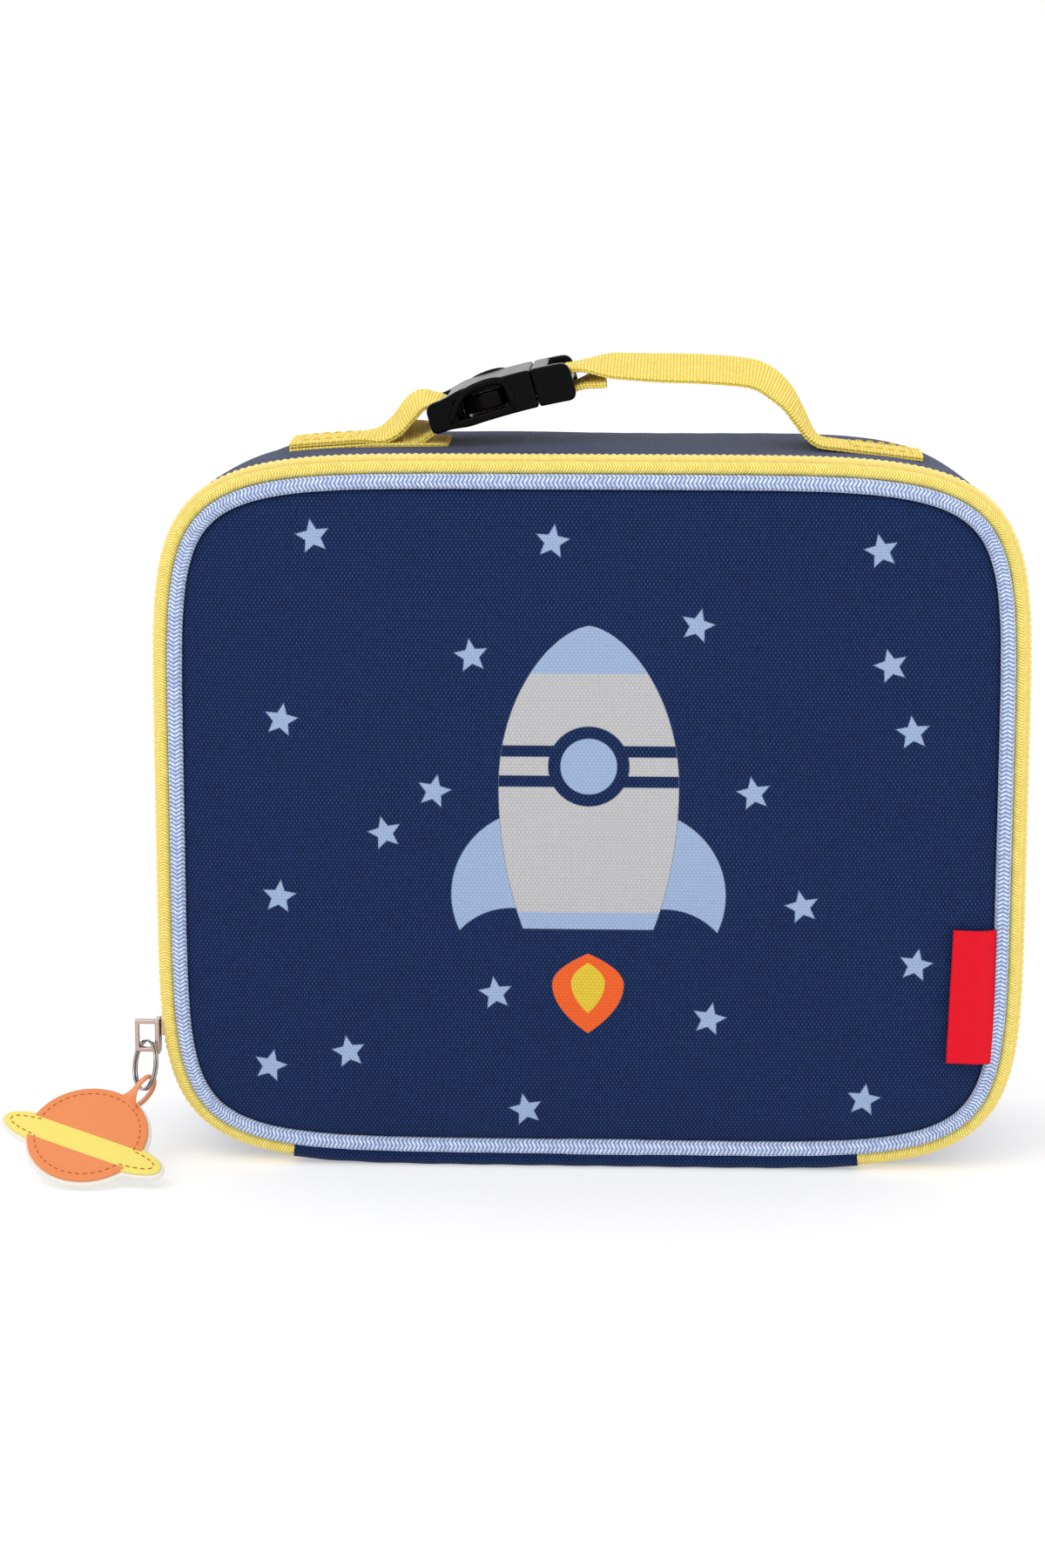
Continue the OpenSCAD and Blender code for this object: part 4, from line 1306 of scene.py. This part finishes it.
def leather(name, edge, centre, low, high, rim, material, slot):
    """A flat piece of leather: rings of its outline about a centre, with a rounded rim."""
    edge, centre = np.asarray(edge, float), np.asarray(centre, float)
    distance = np.linalg.norm(edge - centre, axis=1)[:, None]
    a = np.linspace(0, np.pi / 2, 6)
    inner = np.linspace(0, 1, 10)[:-1]
    fall, drop = rim * (1 - np.sin(a)), rim * (1 - np.cos(a))
    radius = np.concatenate([inner * (distance - rim), distance - fall, distance - fall[::-1],
                             inner[::-1] * (distance - rim)], 1)
    level = np.concatenate([np.full(len(inner), high), high - drop, (low + drop)[::-1],
                            np.full(len(inner), low)])
    direction_out = (edge - centre) / distance
    flat = centre + radius[..., None] * direction_out[:, None]
    flat = rotate(np.concatenate([flat, 0 * flat[..., :1]], -1), 2, HALO_TILT)
    points = flat + np.array([0, PLANET_Y, 0])
    points[..., 2] = level
    faces, row, col = quads(len(edge), points.shape[1], True, False)
    uv = points[row % len(edge), col][..., :2].reshape(-1, 2) * MM
    piece = finish_mesh(name, place_charm(points), faces.tolist(), uv, [material], sharp=50)
    belongs(piece, "charm", slot)
    return piece


backing = leather("charm_back_leather", planet_outline(0.8), (0, 0), -1.6, 0.0, 0.45,
                  white_leather, "backing_white")
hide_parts("charm_backing")
theta = np.linspace(0, 2 * np.pi, 300, endpoint=False)
halo_edge = halo_radius(theta)[:, None] * np.stack([np.cos(theta), np.sin(theta)], -1)
halo = leather("charm_ring_leather", halo_edge, (0, 0), 0.0, 0.7, 0.3, yellow_leather,
               "leather_yellow")
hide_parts("charm_halo")
for side, word in ((1, "top"), (-1, "bottom")):
    middle_y = (side * BAND + RAISED + side * PLANET_R) / 2
    cap = leather(f"charm_{word}_leather", cap_outline(side), (0, middle_y), 0.02, 1.0, 0.3,
                  orange_leather, "leather_orange")
    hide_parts(f"charm_planet_{word}")

# %% The charm's loop and stitching
loop_line = catmull([[-11.5, 0.42], [-9, 0.42], [-7.2, 0.6], [-5.0, 1.9], [-1.6, 3.7], [2.0, 3.4],
                     [3.7, 0.6], [2.9, -2.2], [0.2, -3.6], [-2.8, -3.6], [-5.6, -2.8],
                     [-7.6, -2.3]], 8)
tangent = np.gradient(loop_line, axis=0)
tangent /= np.linalg.norm(tangent, axis=1)[:, None]
loop_normal = np.stack([-tangent[:, 1], tangent[:, 0]], -1)
turn = np.linspace(0, 2 * np.pi, 24, endpoint=False)
half_width = np.interp(loop_line[:, 0], [-7.5, -2.5, 3], [3.8, 1.5, 1.3])[:, None]
wide = half_width * rounded(np.cos(turn), 0.4)
thick = 0.5 * rounded(np.sin(turn), 0.6)
loop_points = np.stack([wide, loop_line[:, :1] + loop_normal[:, :1] * thick,
                        loop_line[:, 1:] + loop_normal[:, 1:] * thick], -1)
# The wrapped end slants with the wire that it holds, and the slant eases off towards the planet.
eased = np.clip((loop_line[:, 0] + 8) / 5, 0, 1)
eased = (eased * eased * (3 - 2 * eased))[:, None, None]
loop_points[..., 1:] += loop_points[..., :1] * np.array([-0.44, 0.82]) * eased
loop = grid_piece("charm_loop_leather", place_charm(loop_points),
                  run_length(loop_line[:, 0], loop_line[:, 1]), np.linspace(0, 8, 25),
                  [orange_leather])
belongs(loop, "charm", "leather_orange", "charm_loop")

edge = planet_outline(-2.0)
closed = np.concatenate([edge, edge[:1]])
seam3 = np.concatenate([closed, np.full((len(closed), 1), 0.0)], 1)
from_disc = np.linalg.norm(closed - np.array([0, RAISED]), axis=1)
on_planet = (np.abs(closed[:, 1]) > BAND) & (from_disc < PLANET_R - 1.9)
seam3[:, 2] = np.where(on_planet, 1.02, 0.74)
seam3 = rotate(seam3, 2, HALO_TILT) + np.array([0, PLANET_Y, 0])
up = rotate(rotate(np.tile([0, 0, 1.0], (len(seam3), 1)), 2, CHARM_ROLL), 0, CHARM_LEAN)
charm_seam = stitches("charm_stitching", place_charm(seam3), up, rust_thread, 1.5, 0.5, 0.16)
belongs(charm_seam, "charm", "leather_orange")

# %% [markdown]
# ## Floor and light
# A pale floor that runs into a pale world, a large soft light from the left and above, and a
# weaker one from the right.

# %% Floor and light
floor_mesh = bpy.data.meshes.new("floor")
floor_mesh.from_pydata([(-80, -80, 0), (80, -80, 0), (80, 80, 0), (-80, 80, 0)], [],
                       [(0, 1, 2, 3)])
floor = bpy.data.objects.new("floor", floor_mesh)
bpy.context.scene.collection.objects.link(floor)
floor_material = bpy.data.materials.new("floor_pale")
floor_material.use_nodes = True
floor_shader = floor_material.node_tree.nodes["Principled BSDF"]
floor_shader.inputs["Base Color"].default_value = (0.62, 0.62, 0.62, 1)
floor_shader.inputs["Emission Color"].default_value = (1, 1, 1, 1)
floor_shader.inputs["Emission Strength"].default_value = 0.4
floor_shader.inputs["Roughness"].default_value = 0.9
floor_mesh.materials.append(floor_material)

world = bpy.data.worlds.new("studio")
world.use_nodes = True
world.node_tree.nodes["Background"].inputs["Color"].default_value = (1, 1, 1, 1)
world.node_tree.nodes["Background"].inputs["Strength"].default_value = 1.1
bpy.context.scene.world = world
bpy.context.scene.view_settings.view_transform = "Standard"


def softbox(name, place, aim_at, power, size):
    """A square area light at place, turned to face aim_at, in metres and watts."""
    data = bpy.data.lights.new(name, "AREA")
    data.energy, data.size = power, size
    lamp = bpy.data.objects.new(name, data)
    bpy.context.scene.collection.objects.link(lamp)
    lamp.location = place
    lamp.rotation_euler = (Vector(aim_at) - Vector(place)).to_track_quat("-Z", "Y").to_euler()


softbox("key", (-0.6, -1.0, 1.4), (0, 0, 0.1), 5, 0.8)
softbox("fill", (1.2, -0.9, 0.7), (0, 0, 0.1), 1.5, 0.9)
